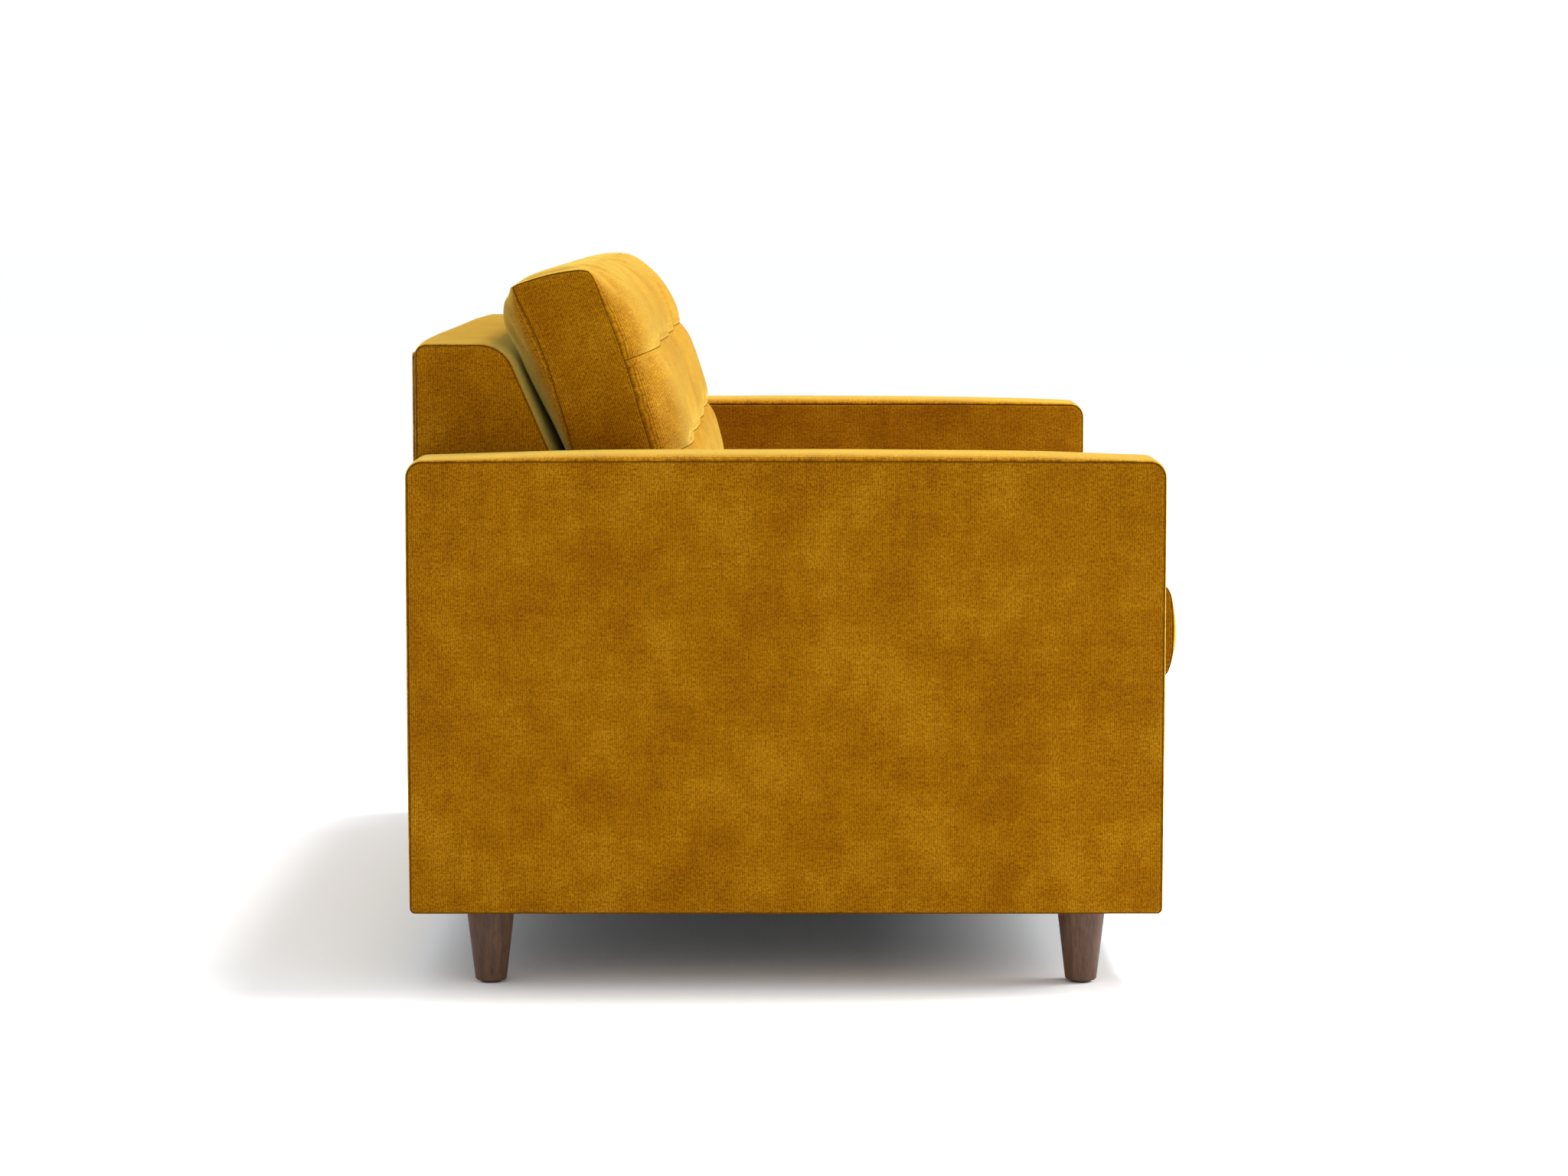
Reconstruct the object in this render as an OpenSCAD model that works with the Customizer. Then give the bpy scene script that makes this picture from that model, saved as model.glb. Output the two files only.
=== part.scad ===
// Two-seat sofa with track arms, loose tufted back cushions and tapered wooden legs.
// Origin on the floor under the middle of the sofa, front towards -Y, +Z up, millimetres.
// Depths are measured forwards from the rear plane and placed with at_depth().

/* [Overall] */
// Width over both arms
sofa_w = 1410; // [1300:10:1800]
// Depth of an arm, rear plane to front
arm_len = 930; // [900:5:980]
// How far the seat cushions stand in front of the arms
seat_overhang = 27; // [20:1:35]
// Clearance under the body
ground_gap = 96; // [80:1:120]

/* [Arms] */
// Thickness of an arm
arm_t = 110; // [100:1:130]
// Height of an arm above the floor
arm_h = 665; // [640:1:700]
// Radius of the arm's upper corners, seen from the side
arm_corner_r = 24; // [15:1:30]

/* [Back frame] */
// Height of the back frame above the floor
back_h = 797; // [770:1:810]
// Depth of the back frame at seat level
back_depth = 248; // [240:1:255]
// Lean of the back frame's front from vertical, in degrees
back_rake = 23.5; // [22.5:0.1:24]
// Radius of the back frame's upper corners
back_corner_r = 20; // [10:1:24]

/* [Seat cushions] */
// Height of the seating surface above the floor
seat_h = 495; // [485:1:500]
// Thickness of a seat cushion
seat_t = 129.7; // [120:0.1:135]
// Depth of the rear face of the seat cushions from the rear plane
seat_rear = 256; // [255:1:262]

/* [Back cushions] */
// Lean of a back cushion from vertical, in degrees
cushion_tilt = 18.4; // [17.8:0.1:18.8]
// Length of a back cushion up its incline
cushion_len = 387; // [370:1:395]
// Thickness of a back cushion from rear seam to front seam
cushion_t = 102; // [95:1:106]
// How far the front face crowns past the front seam
cushion_crown = 50; // [40:1:55]

/* [Legs] */
// Diameter at the top of a leg
leg_top_d = 61; // [50:1:64]
// Diameter at the foot of a leg
leg_foot_d = 39; // [35:1:45]
// Diameter of the glide under a leg
glide_d = 25; // [20:1:30]
// Height of the glide
glide_h = 3; // [2:0.5:5]
// Centre of a leg in from the arm's outer side
leg_inset = 60; // [55:1:62]
// Centre of a leg in from the arm's front and rear
leg_setback = 97; // [90:1:105]

/* [Frame] */
// Thickness of the seat rails
rail_t = 25; // [22:1:28]
// Thickness of plywood boards in the arms
board_t = 9; // [6:0.5:10]
// Number of seat springs
spring_count = 8; // [6:2:8]
// Thickness of the cover fabric
fabric_t = 1.5; // [1:0.1:2]

/* [Hidden] */

LEFT = 1;   // the sitter's left, towards +X
RIGHT = -1; // the sitter's right, towards -X
round_fn = 48;
arc_steps = 6;

// Colours
fabric_colour = [0.72, 0.49, 0.08];
foam_colour = [0.93, 0.88, 0.70];
timber_colour = [0.80, 0.66, 0.46];
walnut_colour = [0.36, 0.24, 0.17];
steel_colour = [0.66, 0.67, 0.70];
black_colour = [0.10, 0.10, 0.11];

// Rear plane and front crest of the whole sofa
rear_y = (arm_len + seat_overhang) / 2;
inner_x = sofa_w / 2 - arm_t;         // inner face of an arm
body_x = inner_x - 1;                 // seat box, 1 mm clear of the arms
rest_gap = 0.3;                       // between a loose cushion and what it rests on
cushion_gap = 1;                      // half the gap between two cushions
side_gap = 3;                         // between a cushion and an arm

// Heights of the seat box
frame_z = ground_gap + 1;             // underside of the timber, above the dust cover
deck_z = seat_h - seat_t - rest_gap;  // top of the deck
rail_top = deck_z - 35;
deck_pad_z = rail_top + 9.5;

// Depths of the seat box
front_recess = 6;                     // front panel behind the arm fronts
panel_pad_t = 10;
front_face = arm_len - front_recess;
rail_front = front_face - fabric_t - panel_pad_t;
rail_inside = rail_front - rail_t;
pad_t = 25;                           // foam on the back frame
back_rail_rear = back_depth - pad_t - fabric_t;
back_rail_front = back_rail_rear + rail_t;
lip_len = 70;                         // front cover folded over the deck

// Arm layers, from the outer face inwards
arm_pad_t = 12;
arm_top_pad = 22;
arm_front_pad = 14;
arm_rear_pad = 3.5;
arm_timber_t = arm_t - 2 * (fabric_t + arm_pad_t + board_t);
member_w = 45;                        // width of the arm frame's members
arm_frame_rear = fabric_t + arm_rear_pad;
arm_frame_front = arm_len - fabric_t - arm_front_pad;
arm_frame_top = arm_h - fabric_t - arm_top_pad;
seam_drop = 10;                       // side panels stop this far below the arm's top
seam_edge = 2;                        // and this far from its front and rear

// Back frame
gusset_t = 18;
end_pad_t = 5.5;
gusset_x = inner_x - fabric_t - end_pad_t;
back_top_pad = 22;
webbing_t = 2;
top_rail_h = 60;
lower_rail_h = 80;
lower_rail_t = 28;

// Fasteners
bolt_r = 4;
bolt_hole_r = 4.3;
bolt_head_r = 8;
bolt_head_h = 6;
hanger_r = 3.95;
nut_r = 5;
arm_bolt_z = frame_z + 23;
arm_bolt_depths = [330, 600, 850];
back_bolt_z = rail_top - 40;
back_bolt_xs = [-440, -150, 150, 440];

// Zips
zip_len = 430;
zip_chain_w = 5;
zip_proud = 0.4;                      // teeth above the cover
zip_tape_t = 0.8;
zip_tape_w = 26;
slider_len = 11;
slider_play = 0.3;

leg_x = sofa_w / 2 - leg_inset;
leg_depths = [leg_setback, arm_len - leg_setback];

// ---------- Placing and outline helpers ----------

function at_depth(d) = rear_y - d;
function unit(v) = v / norm(v);
function turn(a) = a > 180 ? a - 360 : a < -180 ? a + 360 : a;

// Points of an arc that rounds corner p, between its neighbours p0 and p1
function corner(p0, p, p1, r) = r <= 0 ? [p] :
    let (a = unit(p0 - p), b = unit(p1 - p), half = acos(a * b) / 2,
         c = p + unit(a + b) * r / sin(half),
         s = p + a * r / tan(half) - c, e = p + b * r / tan(half) - c,
         a0 = atan2(s[1], s[0]), sweep = turn(atan2(e[1], e[0]) - a0))
    [for (i = [0:arc_steps]) c + r * [cos(a0 + sweep * i / arc_steps), sin(a0 + sweep * i / arc_steps)]];

// Outline with each point [x, y, r] rounded to its radius
function rounded(points) = let (n = len(points), xy = [for (p = points) [p[0], p[1]]])
    [for (i = [0:n - 1]) each corner(xy[(i + n - 1) % n], xy[i], xy[(i + 1) % n], points[i][2])];

// Outline moved inwards by k, for points that run clockwise in depth and height
function inset(points, k) = let (n = len(points))
    [for (i = [0:n - 1])
        let (p = points[i],
             a = unit(p - points[(i + n - 1) % n]), b = unit(points[(i + 1) % n] - p),
             na = [a[1], -a[0]], nb = [b[1], -b[0]], m = unit(na + nb))
        p + m * k / (m * na)];

// Solid with an outline in depth and height, between two X positions
module slab(outline, x0, x1) {
    translate([min(x0, x1), 0, 0])
        rotate([90, 0, 90])
            linear_extrude(height = abs(x1 - x0))
                polygon([for (p = outline) [at_depth(p[0]), p[1]]]);
}

// Box between two X positions, two depths and two heights
module block(x, d, z) {
    translate([min(x), at_depth(max(d)), min(z)])
        cube([abs(x[1] - x[0]), abs(d[1] - d[0]), abs(z[1] - z[0])]);
}

module rod_x(x0, x1, r) {
    translate([min(x0, x1), 0, 0]) rotate([0, 90, 0]) cylinder(r = r, h = abs(x1 - x0), $fn = round_fn);
}

module rod_back(d0, d1, r) {
    translate([0, at_depth(min(d0, d1)), 0])
        rotate([90, 0, 0]) cylinder(r = r, h = abs(d1 - d0), $fn = round_fn);
}

// ---------- Legs ----------

module at_legs() {
    for (s = [LEFT, RIGHT], d = leg_depths) translate([s * leg_x, at_depth(d), 0]) children();
}

module leg() {
    foot_chamfer = 1.5;
    bolt_depth = 42;
    nail_depth = 14;
    translate([0, 0, glide_h]) difference() {
        union() {
            cylinder(d1 = leg_foot_d - 2 * foot_chamfer, d2 = leg_foot_d, h = foot_chamfer, $fn = round_fn);
            translate([0, 0, foot_chamfer])
                cylinder(d1 = leg_foot_d, d2 = leg_top_d, h = frame_z - glide_h - foot_chamfer, $fn = round_fn);
        }
        translate([0, 0, frame_z - glide_h - bolt_depth]) cylinder(r = bolt_r, h = bolt_depth + 1, $fn = round_fn);
        translate([0, 0, -1]) cylinder(r = 1.55, h = nail_depth, $fn = 24);
    }
}

module one_leg(side, d) {
    color(walnut_colour) translate([side * leg_x, at_depth(d), 0]) leg();
}

module leg_front_left() { one_leg(LEFT, leg_depths[1]); }
module leg_front_right() { one_leg(RIGHT, leg_depths[1]); }
module leg_back_left() { one_leg(LEFT, leg_depths[0]); }
module leg_back_right() { one_leg(RIGHT, leg_depths[0]); }

module leg_glides() {
    color(black_colour) at_legs() {
        cylinder(d = glide_d, h = glide_h, $fn = round_fn);
        cylinder(r = 1.5, h = glide_h + 12, $fn = 24);
    }
}

// Hanger bolts: wood screw end in the leg, machine thread in the nut
module leg_bolts() {
    color(steel_colour) at_legs()
        translate([0, 0, frame_z - 40]) cylinder(r = hanger_r, h = 40 + member_w - 2, $fn = round_fn);
}

// T-nuts let into the arms' bottom members
module leg_nuts() {
    barrel_h = 14;
    color(steel_colour) at_legs() translate([0, 0, frame_z + member_w]) difference() {
        union() {
            translate([0, 0, -barrel_h]) cylinder(r = nut_r, h = barrel_h, $fn = round_fn);
            cylinder(r = 11, h = 1.5, $fn = round_fn);
        }
        translate([0, 0, -barrel_h - 1]) cylinder(r = bolt_r, h = barrel_h + 4, $fn = round_fn);
    }
}

// ---------- Arms ----------

// Side outline of an arm
arm_outline = rounded([
    [0, ground_gap, 2], [0, arm_h, arm_corner_r], [arm_len, arm_h, arm_corner_r], [arm_len, ground_gap, 2]]);

// X position at a distance inwards from an arm's outer face
function arm_x(side, o) = side * (sofa_w / 2 - o);

module arm_layer(side, outline, o0, o1) { slab(outline, arm_x(side, o0), arm_x(side, o1)); }

function frame_outline(k) = [
    [arm_frame_rear + k, frame_z + k], [arm_frame_rear + k, arm_frame_top - k],
    [arm_frame_front - k, arm_frame_top - k], [arm_frame_front - k, frame_z + k]];

module arm_bolt_row(r, x0, x1) {
    for (d = arm_bolt_depths) translate([0, at_depth(d), arm_bolt_z]) rod_x(x0, x1, r);
}

module arm_bolt_holes(side) {
    arm_bolt_row(bolt_hole_r, side * (body_x - rail_t - 1), side * (inner_x + 65));
}

module arm_frame(side) {
    o0 = fabric_t + arm_pad_t + board_t;
    mid = (arm_frame_rear + arm_frame_front) / 2;
    color(timber_colour) difference() {
        arm_layer(side, frame_outline(0), o0, o0 + arm_timber_t);
        for (w = [[arm_frame_rear + member_w, mid - member_w / 2], [mid + member_w / 2, arm_frame_front - member_w]])
            block([arm_x(side, o0 - 1), arm_x(side, o0 + arm_timber_t + 1)], w,
                  [frame_z + member_w, arm_frame_top - member_w]);
        arm_bolt_holes(side);
        at_legs() cylinder(r = nut_r + 0.05, h = arm_h / 2, $fn = round_fn);
    }
}

module arm_boards(side) {
    color(timber_colour) difference() {
        for (o = [fabric_t + arm_pad_t, arm_t - fabric_t - arm_pad_t - board_t])
            arm_layer(side, frame_outline(0), o, o + board_t);
        arm_bolt_holes(side);
    }
}

module arm_padding(side) {
    o0 = fabric_t + arm_pad_t;
    color(foam_colour) difference() {
        arm_layer(side, inset(arm_outline, fabric_t), fabric_t, arm_t - fabric_t);
        block([arm_x(side, o0), arm_x(side, arm_t - o0)], [arm_frame_rear, arm_frame_front],
              [0, arm_frame_top]);
        arm_bolt_holes(side);
    }
}

// Flat side panel of an arm, sewn to the band round its edge
module arm_panel(side, o) {
    arm_layer(side, rounded([
        [seam_edge, ground_gap, 2], [seam_edge, arm_h - seam_drop, arm_corner_r - seam_drop],
        [arm_len - seam_edge, arm_h - seam_drop, arm_corner_r - seam_drop],
        [arm_len - seam_edge, ground_gap, 2]]), o, o + fabric_t);
}

module arm_outer_panel(side) { color(fabric_colour) arm_panel(side, 0); }

module arm_inner_panel(side) {
    color(fabric_colour) difference() {
        arm_panel(side, arm_t - fabric_t);
        arm_bolt_holes(side);
    }
}

// Band sewn between the side panels, over the rear, top and front of the arm
module arm_band(side) {
    color(fabric_colour) difference() {
        arm_layer(side, arm_outline, fabric_t, arm_t - fabric_t);
        arm_layer(side, inset(arm_outline, fabric_t), 0, arm_t);
        block([arm_x(side, 0), arm_x(side, arm_t)], [5, arm_len - 5], [0, ground_gap + 5]);
    }
}

module arm_frame_left() { arm_frame(LEFT); }
module arm_frame_right() { arm_frame(RIGHT); }
module arm_boards_left() { arm_boards(LEFT); }
module arm_boards_right() { arm_boards(RIGHT); }
module arm_padding_left() { arm_padding(LEFT); }
module arm_padding_right() { arm_padding(RIGHT); }
module arm_outer_panel_left() { arm_outer_panel(LEFT); }
module arm_outer_panel_right() { arm_outer_panel(RIGHT); }
module arm_inner_panel_left() { arm_inner_panel(LEFT); }
module arm_inner_panel_right() { arm_inner_panel(RIGHT); }
module arm_band_left() { arm_band(LEFT); }
module arm_band_right() { arm_band(RIGHT); }

// Bolts from the seat box into the arms' bottom members
module arm_bolts() {
    color(steel_colour) for (s = [LEFT, RIGHT]) {
        arm_bolt_row(bolt_r, s * (body_x - rail_t), s * (inner_x + 60));
        arm_bolt_row(bolt_head_r, s * (body_x - rail_t), s * (body_x - rail_t - bolt_head_h));
    }
}

// ---------- Seat box ----------

module front_rail() {
    color(timber_colour) block([-body_x, body_x], [rail_inside, rail_front], [frame_z, rail_top]);
}

module back_bolt_row(r, d0, d1) {
    for (x = back_bolt_xs) translate([x, 0, back_bolt_z]) rod_back(d0, d1, r);
}

module back_rail() {
    color(timber_colour) difference() {
        block([-body_x, body_x], [back_rail_rear, back_rail_front], [frame_z, rail_top]);
        back_bolt_row(bolt_hole_r, back_rail_rear - 1, back_rail_front + 1);
    }
}

module side_rail(side) {
    color(timber_colour) difference() {
        block([side * (body_x - rail_t), side * body_x], [back_rail_front, rail_inside], [frame_z, rail_top]);
        arm_bolt_holes(side);
    }
}

module side_rail_left() { side_rail(LEFT); }
module side_rail_right() { side_rail(RIGHT); }

module centre_rail() {
    color(timber_colour) block([-20, 20], [back_rail_front, rail_inside], [frame_z, frame_z + 80]);
}

module corner_blocks() {
    leg = 60;
    block_z = frame_z + 60;
    block_h = 140;
    color(timber_colour) for (s = [LEFT, RIGHT], e = [1, -1])
        translate([s * (body_x - rail_t), at_depth(e > 0 ? rail_inside : back_rail_front), block_z])
            linear_extrude(height = block_h)
                polygon(s * e > 0 ? [[0, 0], [0, e * leg], [-s * leg, 0]] : [[0, 0], [-s * leg, 0], [0, e * leg]]);
}

// Sinuous spring wire: a sine across X with each loop drawn out along Y
spring_periods = 11;
spring_points = 12;
spring_wire = 4;
spring_half_w = 26;
spring_run = rail_inside - back_rail_front + 2 * 10;
spring_z = rail_top + 2.2;

function spring_point(t) = [
    spring_half_w * sin(360 * t),
    spring_run * t / spring_periods - 7 * sin(720 * t)];

function wire_edge(path, half) = let (n = len(path))
    [for (i = [0:n - 1])
        let (v = unit(path[min(i + 1, n - 1)] - path[max(i - 1, 0)])) path[i] + half * [-v[1], v[0]]];

module seat_spring() {
    path = [for (i = [0:spring_periods * spring_points]) spring_point(i / spring_points)];
    left_edge = wire_edge(path, spring_wire / 2);
    right_edge = wire_edge(path, -spring_wire / 2);
    linear_extrude(height = spring_wire)
        polygon(concat(left_edge, [for (i = [len(path) - 1:-1:0]) right_edge[i]]));
}

function spring_x(i) = (i - (spring_count - 1) / 2) * 2 * (body_x - 70) / spring_count;

module seat_springs() {
    color(steel_colour) for (i = [0:spring_count - 1])
        translate([spring_x(i), at_depth(rail_inside + 10), spring_z]) seat_spring();
}

// Folded clips that hold the spring ends on the rails
module spring_clips() {
    sheet = 1.2;
    clip_h = spring_wire + 2 * 2.2;
    color(steel_colour) for (i = [0:spring_count - 1], end = [[rail_inside + 1, 1], [back_rail_front - 1, -1]])
        translate([spring_x(i) - 12, at_depth(end[0]), rail_top]) mirror([0, end[1] > 0 ? 1 : 0, 0]) {
            cube([24, 18, sheet]);
            translate([0, 18 - sheet, 0]) cube([24, sheet, clip_h]);
            translate([0, 0, clip_h - sheet]) cube([24, 18, sheet]);
        }
}

module deck_pad() {
    color(foam_colour) block([-body_x, body_x], [back_depth, rail_front], [deck_pad_z, deck_z - fabric_t]);
}

module deck_cloth() {
    color(black_colour) block([-body_x, body_x], [back_depth, front_face - lip_len], [deck_z - fabric_t, deck_z]);
}

module dust_cover() {
    color(black_colour) block([-body_x, body_x], [6, rail_front], [ground_gap, frame_z]);
}

module front_panel_padding() {
    color(foam_colour) block([-body_x, body_x], [rail_front, front_face - fabric_t], [frame_z, deck_z - fabric_t]);
}

module front_panel_cover() {
    color(fabric_colour) {
        block([-body_x, body_x], [front_face - fabric_t, front_face], [ground_gap, deck_z]);
        block([-body_x, body_x], [front_face - lip_len, front_face - fabric_t], [deck_z - fabric_t, deck_z]);
    }
}

// ---------- Back frame ----------

// Side outline of the back frame from height z0 up, drawn in from its front, rear and top
function back_points(z0, front_in, rear_in, top_in, r) =
    let (slope = tan(back_rake), top = back_h - top_in,
         knee_z = seat_h - front_in * (1 / cos(back_rake) - 1) / slope,
         knee_d = back_depth - front_in)
    [[rear_in, z0, 0], [rear_in, top, r], [knee_d - (top - knee_z) * slope, top, r],
     [knee_d, knee_z, 0], [knee_d, z0, 0]];

module back_slab(z0, front_in, rear_in, top_in, x, r = 0) {
    slab(rounded(back_points(z0, front_in, rear_in, top_in, r)), -x, x);
}

module back_gussets() {
    outline = rounded(back_points(frame_z, fabric_t + pad_t, 3, fabric_t + back_top_pad, 0));
    color(timber_colour) {
        slab(outline, -gusset_t / 2, gusset_t / 2);
        for (s = [LEFT, RIGHT]) slab(outline, s * (gusset_x - gusset_t), s * gusset_x);
    }
}

module between_gussets(d, z) {
    for (s = [LEFT, RIGHT]) block([s * gusset_t / 2, s * (gusset_x - gusset_t)], d, z);
}

module back_top_rails() {
    top = back_h - fabric_t - back_top_pad;
    color(timber_colour) between_gussets([10, 35], [top - top_rail_h, top]);
}

module back_lower_rails() {
    color(timber_colour) difference() {
        between_gussets([back_rail_rear - lower_rail_t, back_rail_rear], [rail_top - lower_rail_h, rail_top]);
        back_bolt_row(bolt_hole_r, back_rail_rear - lower_rail_t - 1, back_rail_rear + 1);
    }
}

module back_bolts() {
    color(steel_colour) {
        back_bolt_row(bolt_r, back_rail_rear - lower_rail_t, back_rail_front);
        back_bolt_row(bolt_head_r, back_rail_front, back_rail_front + bolt_head_h);
    }
}

// Elastic straps across the gussets' sloping front
module back_webbing() {
    strap_w = 60;
    strap_count = 4;
    pitch = 62;
    start = 18;
    knee = back_points(deck_z, fabric_t + pad_t, 0, 0, 0)[3];
    color(black_colour)
        for (i = [0:strap_count - 1])
            translate([0, at_depth(knee[0]), knee[1]]) rotate([-back_rake, 0, 0])
                translate([-gusset_x, -webbing_t - 0.2, start + i * pitch])
                    cube([2 * gusset_x, webbing_t, strap_w]);
}

module back_padding() {
    color(foam_colour) difference() {
        back_slab(deck_z, fabric_t, fabric_t, fabric_t, inner_x - fabric_t, back_corner_r - fabric_t);
        back_slab(deck_z - 10, fabric_t + pad_t - webbing_t - 0.6, -5, fabric_t + back_top_pad, gusset_x);
    }
}

module back_side_panel(side) {
    color(fabric_colour)
        slab(rounded(back_points(deck_z, seam_edge, seam_edge, 5, back_corner_r - 5)),
             side * (inner_x - fabric_t), side * inner_x);
}

module back_side_panel_left() { back_side_panel(LEFT); }
module back_side_panel_right() { back_side_panel(RIGHT); }

// Cover strip up the sloping front and over the top
module back_band() {
    color(fabric_colour) difference() {
        back_slab(deck_z, 0, 0, 0, inner_x - fabric_t, back_corner_r);
        back_slab(deck_z - 10, fabric_t, fabric_t, fabric_t, inner_x, back_corner_r - fabric_t);
        block([-inner_x, inner_x], [-1, fabric_t + 0.1], [0, back_h - back_corner_r]);
    }
}

module back_rear_cover() {
    color(fabric_colour)
        block([-inner_x + fabric_t, inner_x - fabric_t], [0, fabric_t], [ground_gap, back_h - back_corner_r]);
}

// ---------- Loose cushions ----------

function cushion_x(side, o) = side * (cushion_gap + o);
cushion_w = inner_x - side_gap - cushion_gap;

// Cover of constant outline: a closed skin with a slot for its zip
module cushion_skin(side, outline) {
    color(fabric_colour) difference() {
        slab(outline, cushion_x(side, 0), cushion_x(side, cushion_w));
        slab(inset(outline, fabric_t), cushion_x(side, fabric_t), cushion_x(side, cushion_w - fabric_t));
        children();
    }
}

module cushion_fill(side, outline) {
    k = fabric_t + zip_tape_t + 0.3;
    color(foam_colour) slab(inset(outline, k), cushion_x(side, k), cushion_x(side, cushion_w - k));
}

// A zip lies along X on a plane whose outward normal is -Z, centred on the cushion
module zip_slot() {
    slot_w = zip_chain_w + 0.8;
    translate([-zip_len / 2 - 0.4, -slot_w / 2, -1]) cube([zip_len + 0.8, slot_w, fabric_t + 1.1]);
}

module zip() {
    color(black_colour) {
        translate([-zip_len / 2 - 10, -zip_tape_w / 2, fabric_t]) cube([zip_len + 20, zip_tape_w, zip_tape_t]);
        translate([-zip_len / 2, -zip_chain_w / 2, -zip_proud]) cube([zip_len, zip_chain_w, fabric_t + zip_proud]);
    }
}

// Slider without a pull, as used on cushion covers, closed at the -X end of its travel
module zip_slider() {
    inner_w = zip_chain_w + 2 * slider_play;
    wall = 1.2;
    lift = 0.25;
    plate_z = -zip_proud - slider_play;
    color(steel_colour)
        translate([-zip_len / 2 + 4, 0, 0]) difference() {
            translate([0, -inner_w / 2 - wall, plate_z - wall])
                cube([slider_len, inner_w + 2 * wall, wall - plate_z - lift]);
            translate([-1, -inner_w / 2, plate_z]) cube([slider_len + 2, inner_w, 5]);
        }
}

// Seat cushion: flat underneath and on top, crowned at the front
seat_front = arm_len + seat_overhang;
seat_seam = seat_front - 14;
seat_bottom = deck_z + rest_gap;
function seat_outline() = rounded([
    [seat_rear, seat_bottom, 10], [seat_rear, seat_h, 10], [seat_seam, seat_h, 22],
    [seat_front, seat_h - seat_t * 0.36, 40], [seat_front, seat_bottom + seat_t * 0.36, 40],
    [seat_seam, seat_bottom, 14]]);

module at_seat_zip(side) {
    translate([cushion_x(side, cushion_w / 2), at_depth(seat_rear), seat_bottom + seat_t / 2])
        rotate([90, 0, 0]) children();
}

module seat_cover(side) { cushion_skin(side, seat_outline()) at_seat_zip(side) zip_slot(); }
module seat_foam(side) { cushion_fill(side, seat_outline()); }
module seat_cover_left() { seat_cover(LEFT); }
module seat_cover_right() { seat_cover(RIGHT); }
module seat_foam_left() { seat_foam(LEFT); }
module seat_foam_right() { seat_foam(RIGHT); }
module seat_zip_left() { at_seat_zip(LEFT) zip(); }
module seat_zip_right() { at_seat_zip(RIGHT) zip(); }
module seat_zip_slider_left() { at_seat_zip(LEFT) zip_slider(); }
module seat_zip_slider_right() { at_seat_zip(RIGHT) zip_slider(); }

// Back cushion, drawn along its incline (t up, n forwards) from its lower rear corner
cushion_foot = [back_depth - 2.5, seat_h + rest_gap];
function inclined(t, n) = cushion_foot
    + t * [-sin(cushion_tilt), cos(cushion_tilt)] + n * [cos(cushion_tilt), sin(cushion_tilt)];
function rp(t, n, r) = let (p = inclined(t, n)) [p[0], p[1], r];

front_n = cushion_t + cushion_crown;
zip_t = 85;                           // height of the zip up the incline
function back_cushion_outline() = rounded([
    rp(0, 0, 40), rp(cushion_len * 0.31, 0, 0), rp(cushion_len * 0.78, -19, 60),
    rp(cushion_len * 0.93, -18, 15), rp(cushion_len, 12, 15), rp(cushion_len - 3, cushion_t - 6, 12),
    rp(cushion_len * 0.86, front_n - 20, 60), rp(cushion_len * 0.70, front_n, 80),
    rp(cushion_len * 0.2, front_n, 80), rp(0, front_n - 36, 20),
    [cushion_foot[0] + (front_n - 50) / cos(cushion_tilt), cushion_foot[1], 12]]);

module at_back_zip(side) {
    p = inclined(zip_t, 0);
    translate([cushion_x(side, cushion_w / 2), at_depth(p[0]), p[1]])
        rotate([90 - cushion_tilt, 0, 0]) children();
}

module back_cover(side) { cushion_skin(side, back_cushion_outline()) at_back_zip(side) zip_slot(); }
module back_fill(side) { cushion_fill(side, back_cushion_outline()); }
module back_cover_left() { back_cover(LEFT); }
module back_cover_right() { back_cover(RIGHT); }
module back_fill_left() { back_fill(LEFT); }
module back_fill_right() { back_fill(RIGHT); }
module back_zip_left() { at_back_zip(LEFT) zip(); }
module back_zip_right() { at_back_zip(RIGHT) zip(); }
module back_zip_slider_left() { at_back_zip(LEFT) zip_slider(); }
module back_zip_slider_right() { at_back_zip(RIGHT) zip_slider(); }

front_rail();
back_rail();
side_rail_left();
side_rail_right();
centre_rail();
corner_blocks();
leg_nuts();
leg_bolts();
leg_front_left();
leg_front_right();
leg_back_left();
leg_back_right();
leg_glides();
seat_springs();
spring_clips();
deck_pad();
deck_cloth();
dust_cover();
front_panel_padding();
front_panel_cover();
arm_frame_left();
arm_frame_right();
arm_boards_left();
arm_boards_right();
arm_padding_left();
arm_padding_right();
arm_outer_panel_left();
arm_outer_panel_right();
arm_inner_panel_left();
arm_inner_panel_right();
arm_band_left();
arm_band_right();
arm_bolts();
back_gussets();
back_top_rails();
back_lower_rails();
back_webbing();
back_padding();
back_side_panel_left();
back_side_panel_right();
back_band();
back_rear_cover();
back_bolts();
seat_cover_left();
seat_cover_right();
seat_foam_left();
seat_foam_right();
seat_zip_left();
seat_zip_right();
seat_zip_slider_left();
seat_zip_slider_right();
back_cover_left();
back_cover_right();
back_fill_left();
back_fill_right();
back_zip_left();
back_zip_right();
back_zip_slider_left();
back_zip_slider_right();
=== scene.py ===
"""Looks of the two-seat sofa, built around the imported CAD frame."""
import math

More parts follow.
